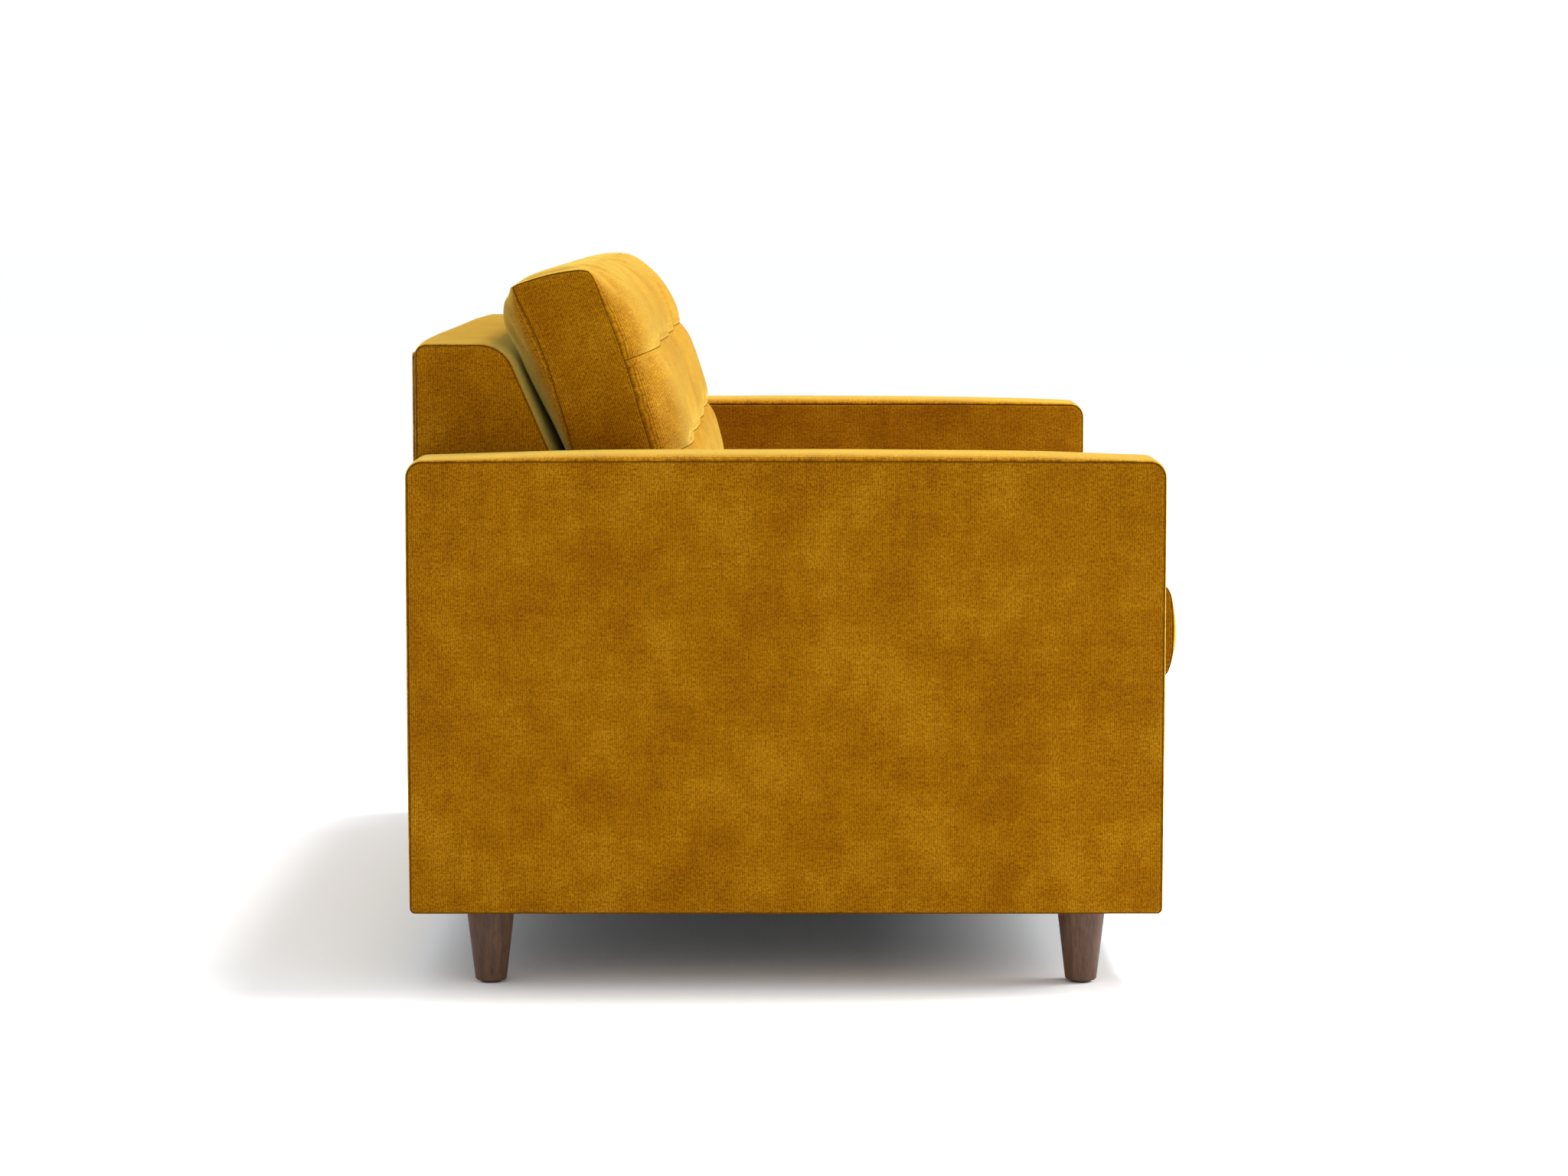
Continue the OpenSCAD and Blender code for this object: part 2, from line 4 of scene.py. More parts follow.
import bmesh
import bpy
import numpy as np
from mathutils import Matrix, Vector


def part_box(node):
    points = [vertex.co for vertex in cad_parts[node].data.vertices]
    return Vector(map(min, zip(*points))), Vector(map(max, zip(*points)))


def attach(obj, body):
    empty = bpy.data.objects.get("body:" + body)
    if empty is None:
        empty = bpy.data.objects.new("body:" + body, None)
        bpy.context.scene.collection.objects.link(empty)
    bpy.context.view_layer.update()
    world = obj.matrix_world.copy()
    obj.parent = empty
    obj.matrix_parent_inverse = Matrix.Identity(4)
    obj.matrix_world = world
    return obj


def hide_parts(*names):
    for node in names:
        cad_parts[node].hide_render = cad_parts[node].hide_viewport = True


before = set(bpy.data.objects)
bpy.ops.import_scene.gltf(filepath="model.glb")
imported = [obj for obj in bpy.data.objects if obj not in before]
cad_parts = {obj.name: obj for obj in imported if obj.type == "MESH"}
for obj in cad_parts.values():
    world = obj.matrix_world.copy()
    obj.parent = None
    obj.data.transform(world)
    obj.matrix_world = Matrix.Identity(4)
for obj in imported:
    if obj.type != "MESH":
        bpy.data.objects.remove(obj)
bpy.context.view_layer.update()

MM = 0.001
SIDES = {"left": 1, "right": -1}
ARC_STEPS = 8
SEAM_INSET = 0.75 * MM
SEAM_DEPTH = 1.1 * MM
# Radius of the dark cord laid in panel seams as painted seam shadow.
SEAM_SHADE_RADIUS = 0.75 * MM


# Small maths

def smooth(a, b, x):
    """0 below a, 1 above b, smooth between."""
    t = np.clip((np.asarray(x, float) - a) / (b - a), 0, 1)
    return t * t * (3 - 2 * t)


def bell(x, width):
    return np.exp(-(np.asarray(x, float) / width) ** 2)


def stacked(*parts):
    """Arrays or numbers side by side in a new last axis."""
    return np.stack(np.broadcast_arrays(*parts), -1)


def join(*parts, axis=0):
    return np.concatenate(parts, axis)


def ripple(points, wavelength, seed, waves=8):
    """Smooth unevenness of about unit size, the same on every run."""
    rng = np.random.default_rng(seed)
    k = rng.normal(size=(waves, 3))
    k *= (2 * math.pi / wavelength * rng.uniform(0.6, 1.4, waves) / np.linalg.norm(k, axis=1))[:, None]
    phase = rng.uniform(0, 2 * math.pi, waves)
    return np.sin(np.asarray(points, float) @ k.T + phase).sum(-1) / math.sqrt(waves)


def ring(corners, inset, counts):
    """Closed anticlockwise outline through (a, b, radius) corners, moved inwards.
    Gives its points and their outward normals."""
    c = np.asarray(corners, float)
    p, r = c[:, :2], c[:, 2]
    edge = np.roll(p, -1, 0) - p
    edge /= np.linalg.norm(edge, axis=1)[:, None]
    inward = stacked(-edge[:, 1], edge[:, 0])
    before = np.roll(inward, 1, 0)
    mitre = (before + inward) / (1 + (before * inward).sum(1))[:, None]
    p = p + mitre * inset
    r = np.maximum(r - inset, 0.8 * MM)
    arcs, arc_normals = [], []
    for i in range(len(p)):
        centre = p[i] + mitre[i] * r[i]
        a0 = math.atan2(*(-before[i])[::-1])
        turn = math.atan2(*(-inward[i])[::-1]) - a0
        turn = (turn + math.pi) % (2 * math.pi) - math.pi
        angles = a0 + turn * np.linspace(0, 1, ARC_STEPS + 1)
        n = stacked(np.cos(angles), np.sin(angles))
        arcs.append(centre + n * r[i])
        arc_normals.append(n)
    points, normals = [], []
    for i in range(len(p)):
        points += list(arcs[i])
        normals += list(arc_normals[i])
        start, end = arcs[i][-1], arcs[(i + 1) % len(p)][0]
        for t in np.linspace(0, 1, counts[i] + 2)[1:-1]:
            points.append(start + (end - start) * t)
            normals.append(-inward[i])
    return np.array(points), np.array(normals)


def along(points):
    """Arc length at each point."""
    steps = np.linalg.norm(np.diff(points, axis=0), axis=1)
    return join([0], np.cumsum(steps))


def spline(knots, count):
    """Centripetal Catmull-Rom curve through knots, at count evenly spaced points."""
    k = np.asarray(knots, float)
    k = join(2 * k[:1] - k[1:2], k, 2 * k[-1:] - k[-2:-1])
    dense = []
    for p0, p1, p2, p3 in zip(k, k[1:], k[2:], k[3:]):
        t1 = np.linalg.norm(p1 - p0) ** 0.5 + 1e-9
        t2 = t1 + np.linalg.norm(p2 - p1) ** 0.5 + 1e-9
        t3 = t2 + np.linalg.norm(p3 - p2) ** 0.5 + 1e-9
        t = np.linspace(t1, t2, 12, endpoint=False)[:, None]
        a1 = (t1 - t) / t1 * p0 + t / t1 * p1
        a2 = (t2 - t) / (t2 - t1) * p1 + (t - t1) / (t2 - t1) * p2
        a3 = (t3 - t) / (t3 - t2) * p2 + (t - t2) / (t3 - t2) * p3
        b1 = (t2 - t) / t2 * a1 + t / t2 * a2
        b2 = (t3 - t) / (t3 - t1) * a2 + (t - t1) / (t3 - t1) * a3
        dense += list((t2 - t) / (t2 - t1) * b1 + (t - t1) / (t2 - t1) * b2)
    dense.append(k[-2])
    dense = np.array(dense)
    s = along(dense)
    at = np.linspace(0, 1, count) * s[-1]
    return np.stack([np.interp(at, s, dense[:, j]) for j in range(dense.shape[1])], 1)


def coons(south, east, north, west):
    """Grid inside four edges. south and north run one way, west and east the other."""
    u = np.linspace(0, 1, len(south))[None, :, None]
    v = np.linspace(0, 1, len(west))[:, None, None]
    ruled = (1 - v) * south[None] + v * north[None] + (1 - u) * west[:, None] + u * east[:, None]
    corners = ((1 - u) * (1 - v) * south[0] + u * (1 - v) * south[-1]
               + (1 - u) * v * north[0] + u * v * north[-1])
    return ruled - corners


def close(loop):
    """The loop with its first point again at the end."""
    return join(loop, loop[:1])


def rectangle(half, low, high, low_radius, high_radius):
    """Corners of a rectangle centred across, for ring()."""
    return [(-half, low, low_radius), (half, low, low_radius),
            (half, high, high_radius), (-half, high, high_radius)]


# Meshes

def new_mesh(name, points, faces):
    mesh = bpy.data.meshes.new(name)
    mesh.from_pydata(points.tolist(), [], faces)
    return mesh


def face_outwards(mesh):
    bm = bmesh.new()
    bm.from_mesh(mesh)
    bmesh.ops.recalc_face_normals(bm, faces=bm.faces)
    bm.to_mesh(mesh)
    bm.free()


def new_object(name, data):
    thing = bpy.data.objects.new(name, data)
    bpy.context.scene.collection.objects.link(thing)
    return thing


class Shell:
    """Grids of one piece, welded where they meet, with weave coordinates in metres at each face corner."""

    def __init__(self):
        self.points, self.faces, self.weave = [], [], []
        self.count = 0

    def grid(self, p, weave, capped=False):
        """p is rows x columns x 3, weave rows x columns x 2 (across the ribs, along them).
        A capped grid of closed rows gets a flat face over its first and last row."""
        m, n = p.shape[:2]
        index = np.arange(m * n).reshape(m, n) + self.count
        quads = np.stack([index[:-1, :-1], index[:-1, 1:], index[1:, 1:], index[1:, :-1]], -1).reshape(-1, 4)
        self.points.append(p.reshape(-1, 3))
        self.weave.append(weave.reshape(-1, 2))
        self.faces += quads.tolist()
        self.count += m * n
        for end in (0, -1) if capped else ():
            self.cap(p[end][:-1], weave[end][:-1])

    def cap(self, p, weave):
        """One flat face through the points."""
        self.points.append(p)
        self.weave.append(weave)
        self.faces.append(list(range(self.count, self.count + len(p))))
        self.count += len(p)

    def build(self, name, material):
        p, weave = np.concatenate(self.points), np.concatenate(self.weave)
        key = np.round(p / 2e-6).astype(np.int64)
        _, first, back = np.unique(key, axis=0, return_index=True, return_inverse=True)
        back = back.reshape(-1)
        faces, corners = [], []
        for face in self.faces:
            kept = {}
            for i in face:
                kept.setdefault(int(back[i]), i)
            if len(kept) > 2:
                faces.append(list(kept))
                corners.append(list(kept.values()))
        mesh = new_mesh(name, p[first], faces)
        layer = mesh.attributes.new("weave", "FLOAT_VECTOR", "CORNER")
        flat = np.zeros((len(mesh.loops), 3), np.float32)
        flat[:, :2] = weave[np.concatenate(corners)]
        layer.data.foreach_set("vector", flat.ravel())
        face_outwards(mesh)
        mesh.shade_smooth()
        mesh.materials.append(material)
        return new_object(name, mesh)


def tube(shell, path, radius, closed=True, sides=6):
    """Round cord along the points, used for the dark cords that paint seam shadow."""
    p = close(path) if closed else path
    ahead = np.gradient(p, axis=0)
    if closed:
        ahead[0] = ahead[-1] = p[1] - p[-2]
    ahead /= np.linalg.norm(ahead, axis=1)[:, None]
    side = np.cross(ahead, (1.0, 0.0, 0.0) if np.abs(ahead[:, 0]).mean() < 0.5 else (0.0, 1.0, 0.0))
    side /= np.linalg.norm(side, axis=1)[:, None]
    third = np.cross(ahead, side)
    turn = np.linspace(0, 2 * math.pi, sides + 1)[None, :, None]
    rows = p[:, None] + radius * (np.cos(turn) * side[:, None] + np.sin(turn) * third[:, None])
    rows[:, -1] = rows[:, 0]
    shell.grid(rows, stacked(turn[..., 0] * radius, along(p)[:, None]), not closed)


HEM = [(1.3, 3.4), (1.3, 2.2), (1.45, 1.2), (1.9, 0.5), (2.8, 0.12), (4.5, 0), (8, 0), (14, 0)]


def sewn_panel(name, corners, counts, place, material, hem=HEM, inner=24):
    """Closed panel whose edge rolls into the seam. place(a, b, depth) puts a point below the panel's face.
    The inner grid starts and turns at the first four corners."""
    shell = Shell()
    loops = [(k * MM, d * MM) for k, d in hem] + [(inner * MM, 0.0)]
    rows, weave = [], []
    for k, depth in loops:
        p = close(ring(corners, k, counts)[0])
        rows.append(place(p[:, 0], p[:, 1], depth))
        weave.append(p)
    shell.grid(np.array(rows), np.array(weave))
    shell.cap(rows[0][:-1], weave[0][:-1])
    p = weave[-1][:-1]
    starts = []
    at = 0
    for i in range(len(corners)):
        starts.append(at + ARC_STEPS // 2)
        at += ARC_STEPS + 1 + counts[i]
    a, b, c, d = starts[:4]
    total = len(p)

    def run(i, j):
        return p[[q % total for q in range(i, j + 1 if j > i else j + total + 1)]]

    inside = coons(run(a, b), run(b, c), run(c, d)[::-1], run(d, a)[::-1])
    shell.grid(place(inside[..., 0], inside[..., 1], 0.0), inside)
    return shell.build(name, material)


def sewn_band(name, path, normals, half, crown, thick, closed, place):
    """Strip round an outline, rolled over at both edges. crown and thick are arrays along the path."""
    theta = np.linspace(0, math.pi, 31)
    cos, sin = np.cos(theta), np.sin(theta)
    across = np.sign(cos) * np.abs(cos) ** 0.4
    up = np.clip(sin, 0, None) ** 0.9
    inner_u = np.array([-0.955, -0.85, -0.55, 0, 0.55, 0.85, 0.955])
    inner_up = (1 - np.abs(inner_u) ** 5) ** 0.45
    c = join([1 - 0.0018 / half], across, [-1 + 0.0018 / half], inner_u) * half
    s = along(path)
    shell = Shell()
    rows, weave = [], []
    for i, (p, n) in enumerate(zip(path, normals)):
        e = join([-1.0 * MM], up * crown[i], [-1.0 * MM], inner_up * crown[i] - thick[i])
        points = place(c, s[i], p[None] + n[None] * e[:, None])
        rows.append(close(points))
        weave.append(close(stacked(c, s[i])))
    shell.grid(np.array(rows), np.array(weave), not closed)
    return shell.build(name, VELVET)


def edge_seam(name, corners, counts, place):
    """Cord sunk in the seam round a panel, dark as painted seam shadow."""
    line = ring(corners, SEAM_INSET, counts)[0]
    shell = Shell()
    tube(shell, place(line[:, 0], line[:, 1], SEAM_DEPTH), SEAM_SHADE_RADIUS)
    piece_done(shell.build(name, SEAM_SHADE))


# Materials

class Nodes:
    """A material with a Principled shader and short ways to add nodes to it."""

    def __init__(self, name, **values):
        self.material = bpy.data.materials.new(name)
        self.material.use_nodes = True
        self.tree = self.material.node_tree
        self.shader = self.tree.nodes["Principled BSDF"]
        for socket, value in values.items():
            self.shader.inputs[socket.replace("_", " ")].default_value = value

    def feed(self, socket, value):
        """Links the value if it comes from another node, or else sets it."""
        if isinstance(value, bpy.types.NodeSocket):
            self.tree.links.new(value, socket)
        else:
            socket.default_value = value

    def add(self, kind, **inputs):
        node = self.tree.nodes.new("ShaderNode" + kind)
        for key, value in inputs.items():
            self.feed(node.inputs[key], value)
        return node

    def math(self, operation, a, b=0.0):
        node = self.add("Math")
        node.operation = operation
        self.feed(node.inputs[0], a)
        self.feed(node.inputs[1], b)
        return node.outputs[0]

    def weighted(self, *terms):
        """Sum of (value, weight) terms."""
        products = [self.math("MULTIPLY", *term) for term in terms]
        total = products.pop()
        while products:
            total = self.math("ADD", products.pop(), total)
        return total

    def linear(self, value, gain, offset):
        return self.math("ADD", self.math("MULTIPLY", value, gain), offset)

    def place(self):
        """Place in the sofa, in metres."""
        return self.add("TexCoord").outputs["Object"]

    def weave(self):
        """Weave coordinates of the piece, in metres."""
        node = self.add("Attribute")
        node.attribute_name = "weave"
        return node.outputs["Vector"]

    def scaled(self, vector, scale):
        return self.add("Mapping", Vector=vector, Scale=scale).outputs[0]

    def noise(self, vector, scale, detail=3.0, rough=0.55, distort=0.0):
        return self.add("TexNoise", Vector=self.scaled(vector, scale), Scale=1.0, Detail=detail,
                        Roughness=rough, Distortion=distort).outputs[0]

    def waves(self, vector, scale, distort, detail=2.0):
        return self.add("TexWave", Vector=vector, Scale=scale, Distortion=distort, Detail=detail).outputs["Fac"]

    def ramp(self, value, *stops):
        node = self.add("ValToRGB", Fac=value)
        elements = node.color_ramp.elements
        while len(elements) < len(stops):
            elements.new(0.5)
        for element, (at, colour) in zip(elements, stops):
            element.position = at
            element.color = (*colour, 1.0)
        return node.outputs[0]

    def times(self, a, b):
        """Product of two colours."""
        node = self.add("Mix", Factor=1.0)
        node.data_type = "RGBA"
        node.blend_type = "MULTIPLY"
        for socket, value in zip([s for s in node.inputs if s.type == "RGBA"], (a, b)):
            self.feed(socket, value)
        return next(s for s in node.outputs if s.type == "RGBA")

    def bump(self, height, strength, distance, under=None):
        node = self.add("Bump", Height=height, Strength=strength, Distance=distance)
        if under:
            self.tree.links.new(under, node.inputs["Normal"])
        return node.outputs[0]

    def finish(self, colour=None, rough=None, normal=None):
        for socket, value in (("Base Color", colour), ("Roughness", rough), ("Normal", normal)):
            if value is not None:
                self.tree.links.new(value, self.shader.inputs[socket])
        return self.material


VELVET_DARK = (0.180, 0.061, 0.0004)
VELVET_MID = (0.213, 0.079, 0.0006)
VELVET_LIGHT = (0.252, 0.103, 0.0018)
RIB_PITCH = 2.3 * MM
PICK_PITCH = 2.5 * MM


def velvet():
    """Ochre flat-woven velvet: brushed patches, fine vertical ribs broken by slubs, and a golden sheen."""
    m = Nodes("velvet", Roughness=0.9, Sheen_Weight=0.68, Sheen_Roughness=0.45,
              Sheen_Tint=(1.0, 0.83, 0.19, 1.0), Specular_IOR_Level=0.0)
    place, weave = m.place(), m.weave()
    cloud = m.noise(place, (10, 10, 9), 9, 0.66, 0.1)
    strokes_up = m.noise(weave, (75, 16, 1), 5, 0.7)
    strokes_across = m.noise(weave, (14, 110, 1), 5, 0.7)
    patch = m.weighted((cloud, 0.60), (strokes_up, 0.18), (strokes_across, 0.22))
    colour = m.ramp(patch, (0.43, VELVET_DARK), (0.495, VELVET_MID), (0.51, VELVET_MID), (0.58, VELVET_LIGHT))
    split = m.add("SeparateXYZ", Vector=weave)
    wander = m.noise(weave, (60, 60, 1), 2)
    rib = m.math("SINE", m.weighted((split.outputs[0], 2 * math.pi / RIB_PITCH), (wander, 9.0)))
    pick = m.math("SINE", m.weighted((split.outputs[1], 2 * math.pi / PICK_PITCH), (wander, 6.0)))
    dots = m.weighted((rib, 0.11), (m.math("MULTIPLY", rib, pick), 0.08))
    slub = m.noise(weave, (90, 800, 1), 2, 0.6)
    speck = m.noise(weave, (400, 330, 1), 1, 0.5)
    cloth = m.math("ADD", dots, m.weighted((slub, 0.38), (speck, 0.62)))
    shade = m.ramp(cloth, (0.30, (0.46, 0.40, 0.3)), (0.5, (1.0, 1.0, 1.0)), (0.70, (1.5, 1.6, 2.3)))
    fuzz = m.noise(place, (1400, 1400, 1400), 1)
    normal = m.bump(fuzz, 0.2, 0.0003, m.bump(cloth, 0.7, 0.0010))
    return m.finish(m.times(colour, shade), m.linear(patch, 0.25, 0.72), normal)


def wood(name, dark, light, stretch, gloss, pores, grain_scale=1.0):
    """Grain that runs along the axis where stretch is small, with fine pores."""
    m = Nodes(name, Roughness=gloss, Specular_IOR_Level=0.4)
    place = m.place()
    stretch = np.array(stretch)
    grain = m.noise(place, 60 * grain_scale * stretch, 6, 0.6, 1.2)
    fine = m.noise(place, 420 * stretch, 3, 0.7)
    tone = m.noise(place, 14 * stretch, 2)
    middle = tuple((a + b) / 2 for a, b in zip(dark, light))
    colour = m.ramp(m.weighted((grain, 0.6), (tone, 0.4)), (0.34, dark), (0.5, middle), (0.64, light))
    pore = m.ramp(fine, (0.36, (1 - pores,) * 3), (0.50, (1, 1, 1)))
    return m.finish(m.times(colour, pore), m.linear(fine, 0.25, gloss - 0.1), m.bump(fine, 0.25, 0.0004))


def steel():
    m = Nodes("steel", Metallic=1.0, Roughness=0.35)
    place = m.place()
    smear = m.noise(place, (40, 40, 40), 5, 0.6)
    scratch = m.noise(place, (120, 1600, 1600), 2)
    colour = m.ramp(smear, (0.35, (0.46, 0.47, 0.49)), (0.65, (0.66, 0.67, 0.69)))
    return m.finish(colour, m.linear(scratch, 0.25, 0.24), m.bump(scratch, 0.1, 0.0002))


def black_cloth():
    """Thin non-woven lining with a pressed dimple pattern."""
    m = Nodes("black_cloth", Roughness=0.9, Sheen_Weight=0.25, Sheen_Roughness=0.5,
              Sheen_Tint=(0.6, 0.6, 0.65, 1.0), Specular_IOR_Level=0.15)
    place = m.place()
    fibre = m.noise(place, (300, 300, 300), 5, 0.75)
    colour = m.ramp(fibre, (0.35, (0.012, 0.012, 0.014)), (0.65, (0.035, 0.035, 0.038)))
    dimple = m.add("TexVoronoi", Vector=place, Scale=420.0).outputs["Distance"]
    return m.finish(colour, None, m.bump(dimple, 0.5, 0.0005, m.bump(fibre, 0.3, 0.0004)))


def glide_plastic():
    m = Nodes("glide_plastic", Roughness=0.5)
    place = m.place()
    speck = m.noise(place, (900, 900, 900))
    scuff = m.noise(place, (90, 90, 30), 4, 0.7)
    colour = m.ramp(scuff, (0.4, (0.010, 0.010, 0.011)), (0.7, (0.030, 0.029, 0.028)))
    return m.finish(colour, m.linear(scuff, 0.3, 0.35), m.bump(speck, 0.2, 0.0002))


def zip_tape():
    """Twill zip tape in a dark ochre."""
    m = Nodes("zip_tape", Roughness=0.85, Specular_IOR_Level=0.08, Sheen_Weight=0.15,
              Sheen_Tint=(1.0, 0.7, 0.2, 1.0))
    twill = m.waves(m.place(), 260.0, 0.4, 1.0)
    colour = m.ramp(twill, (0.2, (0.09, 0.045, 0.006)), (0.8, (0.17, 0.09, 0.015)))
    return m.finish(colour, None, m.bump(twill, 0.4, 0.0003))


def zip_coil():
    """Moulded nylon zip teeth."""
    m = Nodes("zip_coil", Roughness=0.45, Specular_IOR_Level=0.25)
    wear = m.noise(m.place(), (300, 300, 300))
    colour = m.ramp(wear, (0.35, (0.10, 0.052, 0.008)), (0.7, (0.17, 0.095, 0.02)))
    return m.finish(colour, m.linear(wear, 0.3, 0.25), m.bump(wear, 0.15, 0.0002))


def seam_shade_cord():
    """Cord at the bottom of a seam with a twist pattern, coloured darker than the velvet as painted seam
    shadow.
    """
    m = Nodes("seam_shade_cord", Roughness=0.95, Specular_IOR_Level=0.0)
    twist = m.noise(m.weave(), (900, 420, 1), 2)
    # Painted shade: both tones sit well below the velvet so the seam shows as a shadowed line.
    colour = m.ramp(twist, (0.3, (0.055, 0.018, 0.0002)), (0.7, (0.13, 0.048, 0.0006)))
    return m.finish(colour, None, m.bump(twist, 0.5, 0.0004))


def webbing():
    """Woven elastic webbing with long ribs."""
    m = Nodes("webbing", Roughness=0.75)
    place = m.place()
    warp = m.waves(m.scaled(place, (0.02, 1, 1)), 240.0, 0.2)
    weft = m.waves(m.scaled(place, (1, 0.02, 0.02)), 160.0, 0.2)
    both = m.math("MULTIPLY", warp, weft)
    colour = m.ramp(both, (0.1, (0.012, 0.012, 0.013)), (0.7, (0.05, 0.048, 0.045)))
    return m.finish(colour, None, m.bump(both, 0.5, 0.0005))


ALONG_X, ALONG_Y, ALONG_Z = (0.07, 1, 1), (1, 0.07, 1), (1, 1, 0.07)
TIMBER_TONES = (0.46, 0.30, 0.15), (0.68, 0.50, 0.29)

VELVET = velvet()
WALNUT = wood("walnut", (0.046, 0.018, 0.0065), (0.132, 0.058, 0.022), ALONG_Z, 0.55, 0.45, 1.6)
TIMBER = wood("timber", *TIMBER_TONES, ALONG_X, 0.65, 0.25)
TIMBER_UP = wood("timber_upright", *TIMBER_TONES, ALONG_Z, 0.65, 0.25)
PLYWOOD = wood("plywood", (0.42, 0.27, 0.13), (0.66, 0.47, 0.27), ALONG_Y, 0.6, 0.2, 0.4)
STEEL = steel()
BLACK_CLOTH = black_cloth()
GLIDE = glide_plastic()
ZIP_TAPE = zip_tape()
WEBBING = webbing()
# Dark cord material laid in seams as painted seam shadow.
SEAM_SHADE = seam_shade_cord()
COIL = zip_coil()

CAD_FINISH = {
    "leg_front": WALNUT, "leg_back": WALNUT, "leg_glides": GLIDE, "leg_nuts": STEEL, "leg_bolts": STEEL,
    "arm_bolts": STEEL, "back_bolts": STEEL, "seat_springs": STEEL, "spring_clips": STEEL,
    "arm_boards": PLYWOOD, "arm_frame": TIMBER_UP, "back_gussets": TIMBER_UP, "back_webbing": WEBBING,
    "back_zip_slider": STEEL, "seat_zip_slider": STEEL,
}


def finish_cad_nodes():
    """Gives every CAD node that stays visible its material."""
    for name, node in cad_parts.items():
        found = [key for key in CAD_FINISH if name.startswith(key)]
        material = CAD_FINISH[max(found, key=len)] if found else TIMBER
        node.data.materials.clear()
        node.data.materials.append(material)


def piece_done(piece, replaced=(), body="root"):
    """Rides the piece on its body and hides the CAD nodes it replaces."""
    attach(piece, body)
    if replaced:
        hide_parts(*replaced)


# Arms

ARM_EDGE = 2.5 * MM
ARM_CORNERS = 6 * MM, 19 * MM
ARM_TOP_DROP = 10.7 * MM
ARM_END_DROP = 1.5 * MM
ARM_CROWN = 9.1
ARM_CROWN_FALL = 6.6
ARM_COUNTS = [46, 24, 46, 24]


def arm(hand):
    side = SIDES[hand]
    low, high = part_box("arm_band_" + hand)
    outer = max(abs(v.x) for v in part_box("arm_outer_panel_" + hand))
    inner = min(abs(v.x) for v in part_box("arm_inner_panel_" + hand))
    centre_x, half = side * (outer + inner) / 2, (outer - inner) / 2 - 0.2 * MM
    y0, y1, z0, z1 = low.y + ARM_EDGE, high.y - ARM_EDGE, low.z, high.z - ARM_TOP_DROP
    middle, reach = (y0 + y1) / 2, (y1 - y0) / 2
    foot, shoulder = ARM_CORNERS
    corners = [(y0, z0, foot), (y1, z0, foot), (y1, z1, shoulder), (y0, z1, shoulder)]

    def sag(a, b):
        """The upper seam falls a little towards both ends."""
        top = smooth(z1 - 0.12, z1, b)
        return b - ARM_END_DROP * top * np.abs((a - middle) / reach) ** 3

    path, normals = ring(corners, 0, ARM_COUNTS)
    path, normals = close(path), close(normals)
    path[:, 1] = sag(path[:, 0], path[:, 1])
    facing_up = np.clip(normals[:, 1], 0, 1) ** 2
    facing_down = np.clip(-normals[:, 1], 0, 1) ** 2
    facing_out = normals[:, 0] ** 2
    near_end = np.abs((path[:, 0] - middle) / reach)
    up_wall = np.clip((path[:, 1] - z0) / (z1 - z0), 0, 1)
    crown = (facing_up * (ARM_CROWN - ARM_CROWN_FALL * near_end ** 2.6) + facing_down * 0.2
             + facing_out * (1.6 + 1.6 * np.sin(math.pi * up_wall) ** 0.6)) * MM
    crown += 0.25 * MM * (1 - facing_down) * ripple(np.insert(path, 0, centre_x, 1), 0.16, 11)
    thick = (3 - 2.0 * facing_down) * MM

    def at(c, s, p):
        return stacked(centre_x + side * c, p[:, 0], p[:, 1])

    band = sewn_band(f"arm_{hand}_band", path, normals, half, crown, thick, True, at)
    piece_done(band, [f"arm_band_{hand}", f"arm_padding_{hand}"])

    for face, name, way, puff in ((outer, "outer", 1, 1.2 * MM), (inner, "inner", -1, 0.0)):
        def place(a, b, depth, face=face, way=way, puff=puff):
            a, b = np.asarray(a, float), np.asarray(b, float)
            b2 = sag(a, b)
            inside = (1 - np.abs((a - middle) / reach) ** 4) * (1 - np.abs(2 * (b - z0) / (z1 - z0) - 1) ** 6)
            soft = 0.30 * MM * ripple(stacked(face, a, b2), 0.22, 5) * smooth(0, 0.4, inside)
            x = face - way * depth + way * puff * np.clip(inside, 0, 1) ** 0.7 + (way * soft if puff else 0)
            return stacked(side * x, a, b2)

        panel = sewn_panel(f"arm_{hand}_{name}_panel", corners, ARM_COUNTS, place, VELVET)
        piece_done(panel, [f"arm_{name}_panel_{hand}"])
        edge_seam(f"arm_{hand}_{name}_seam", corners, ARM_COUNTS, place)


# Back frame

def back_profile():
    """Corners of the back frame's side outline in y and z, at the seam."""
    low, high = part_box("back_band")
    seat_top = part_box("seat_cover_left")[1].z
    front, top, rear, deck = low.y, high.z, high.y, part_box("back_padding")[0].z
    lean = math.radians(23.5)
    k = 6 * MM
    slope_y = front + k + (top - k - seat_top) * math.tan(lean) + k * (1 / math.cos(lean) - 1)
    return [(front + k, deck, 2 * MM), (rear - 4.5 * MM, deck, 2 * MM), (rear - 4.5 * MM, top - k, 13 * MM),
            (slope_y, top - k, 44 * MM), (front + k, seat_top - 2 * MM, 30 * MM)]


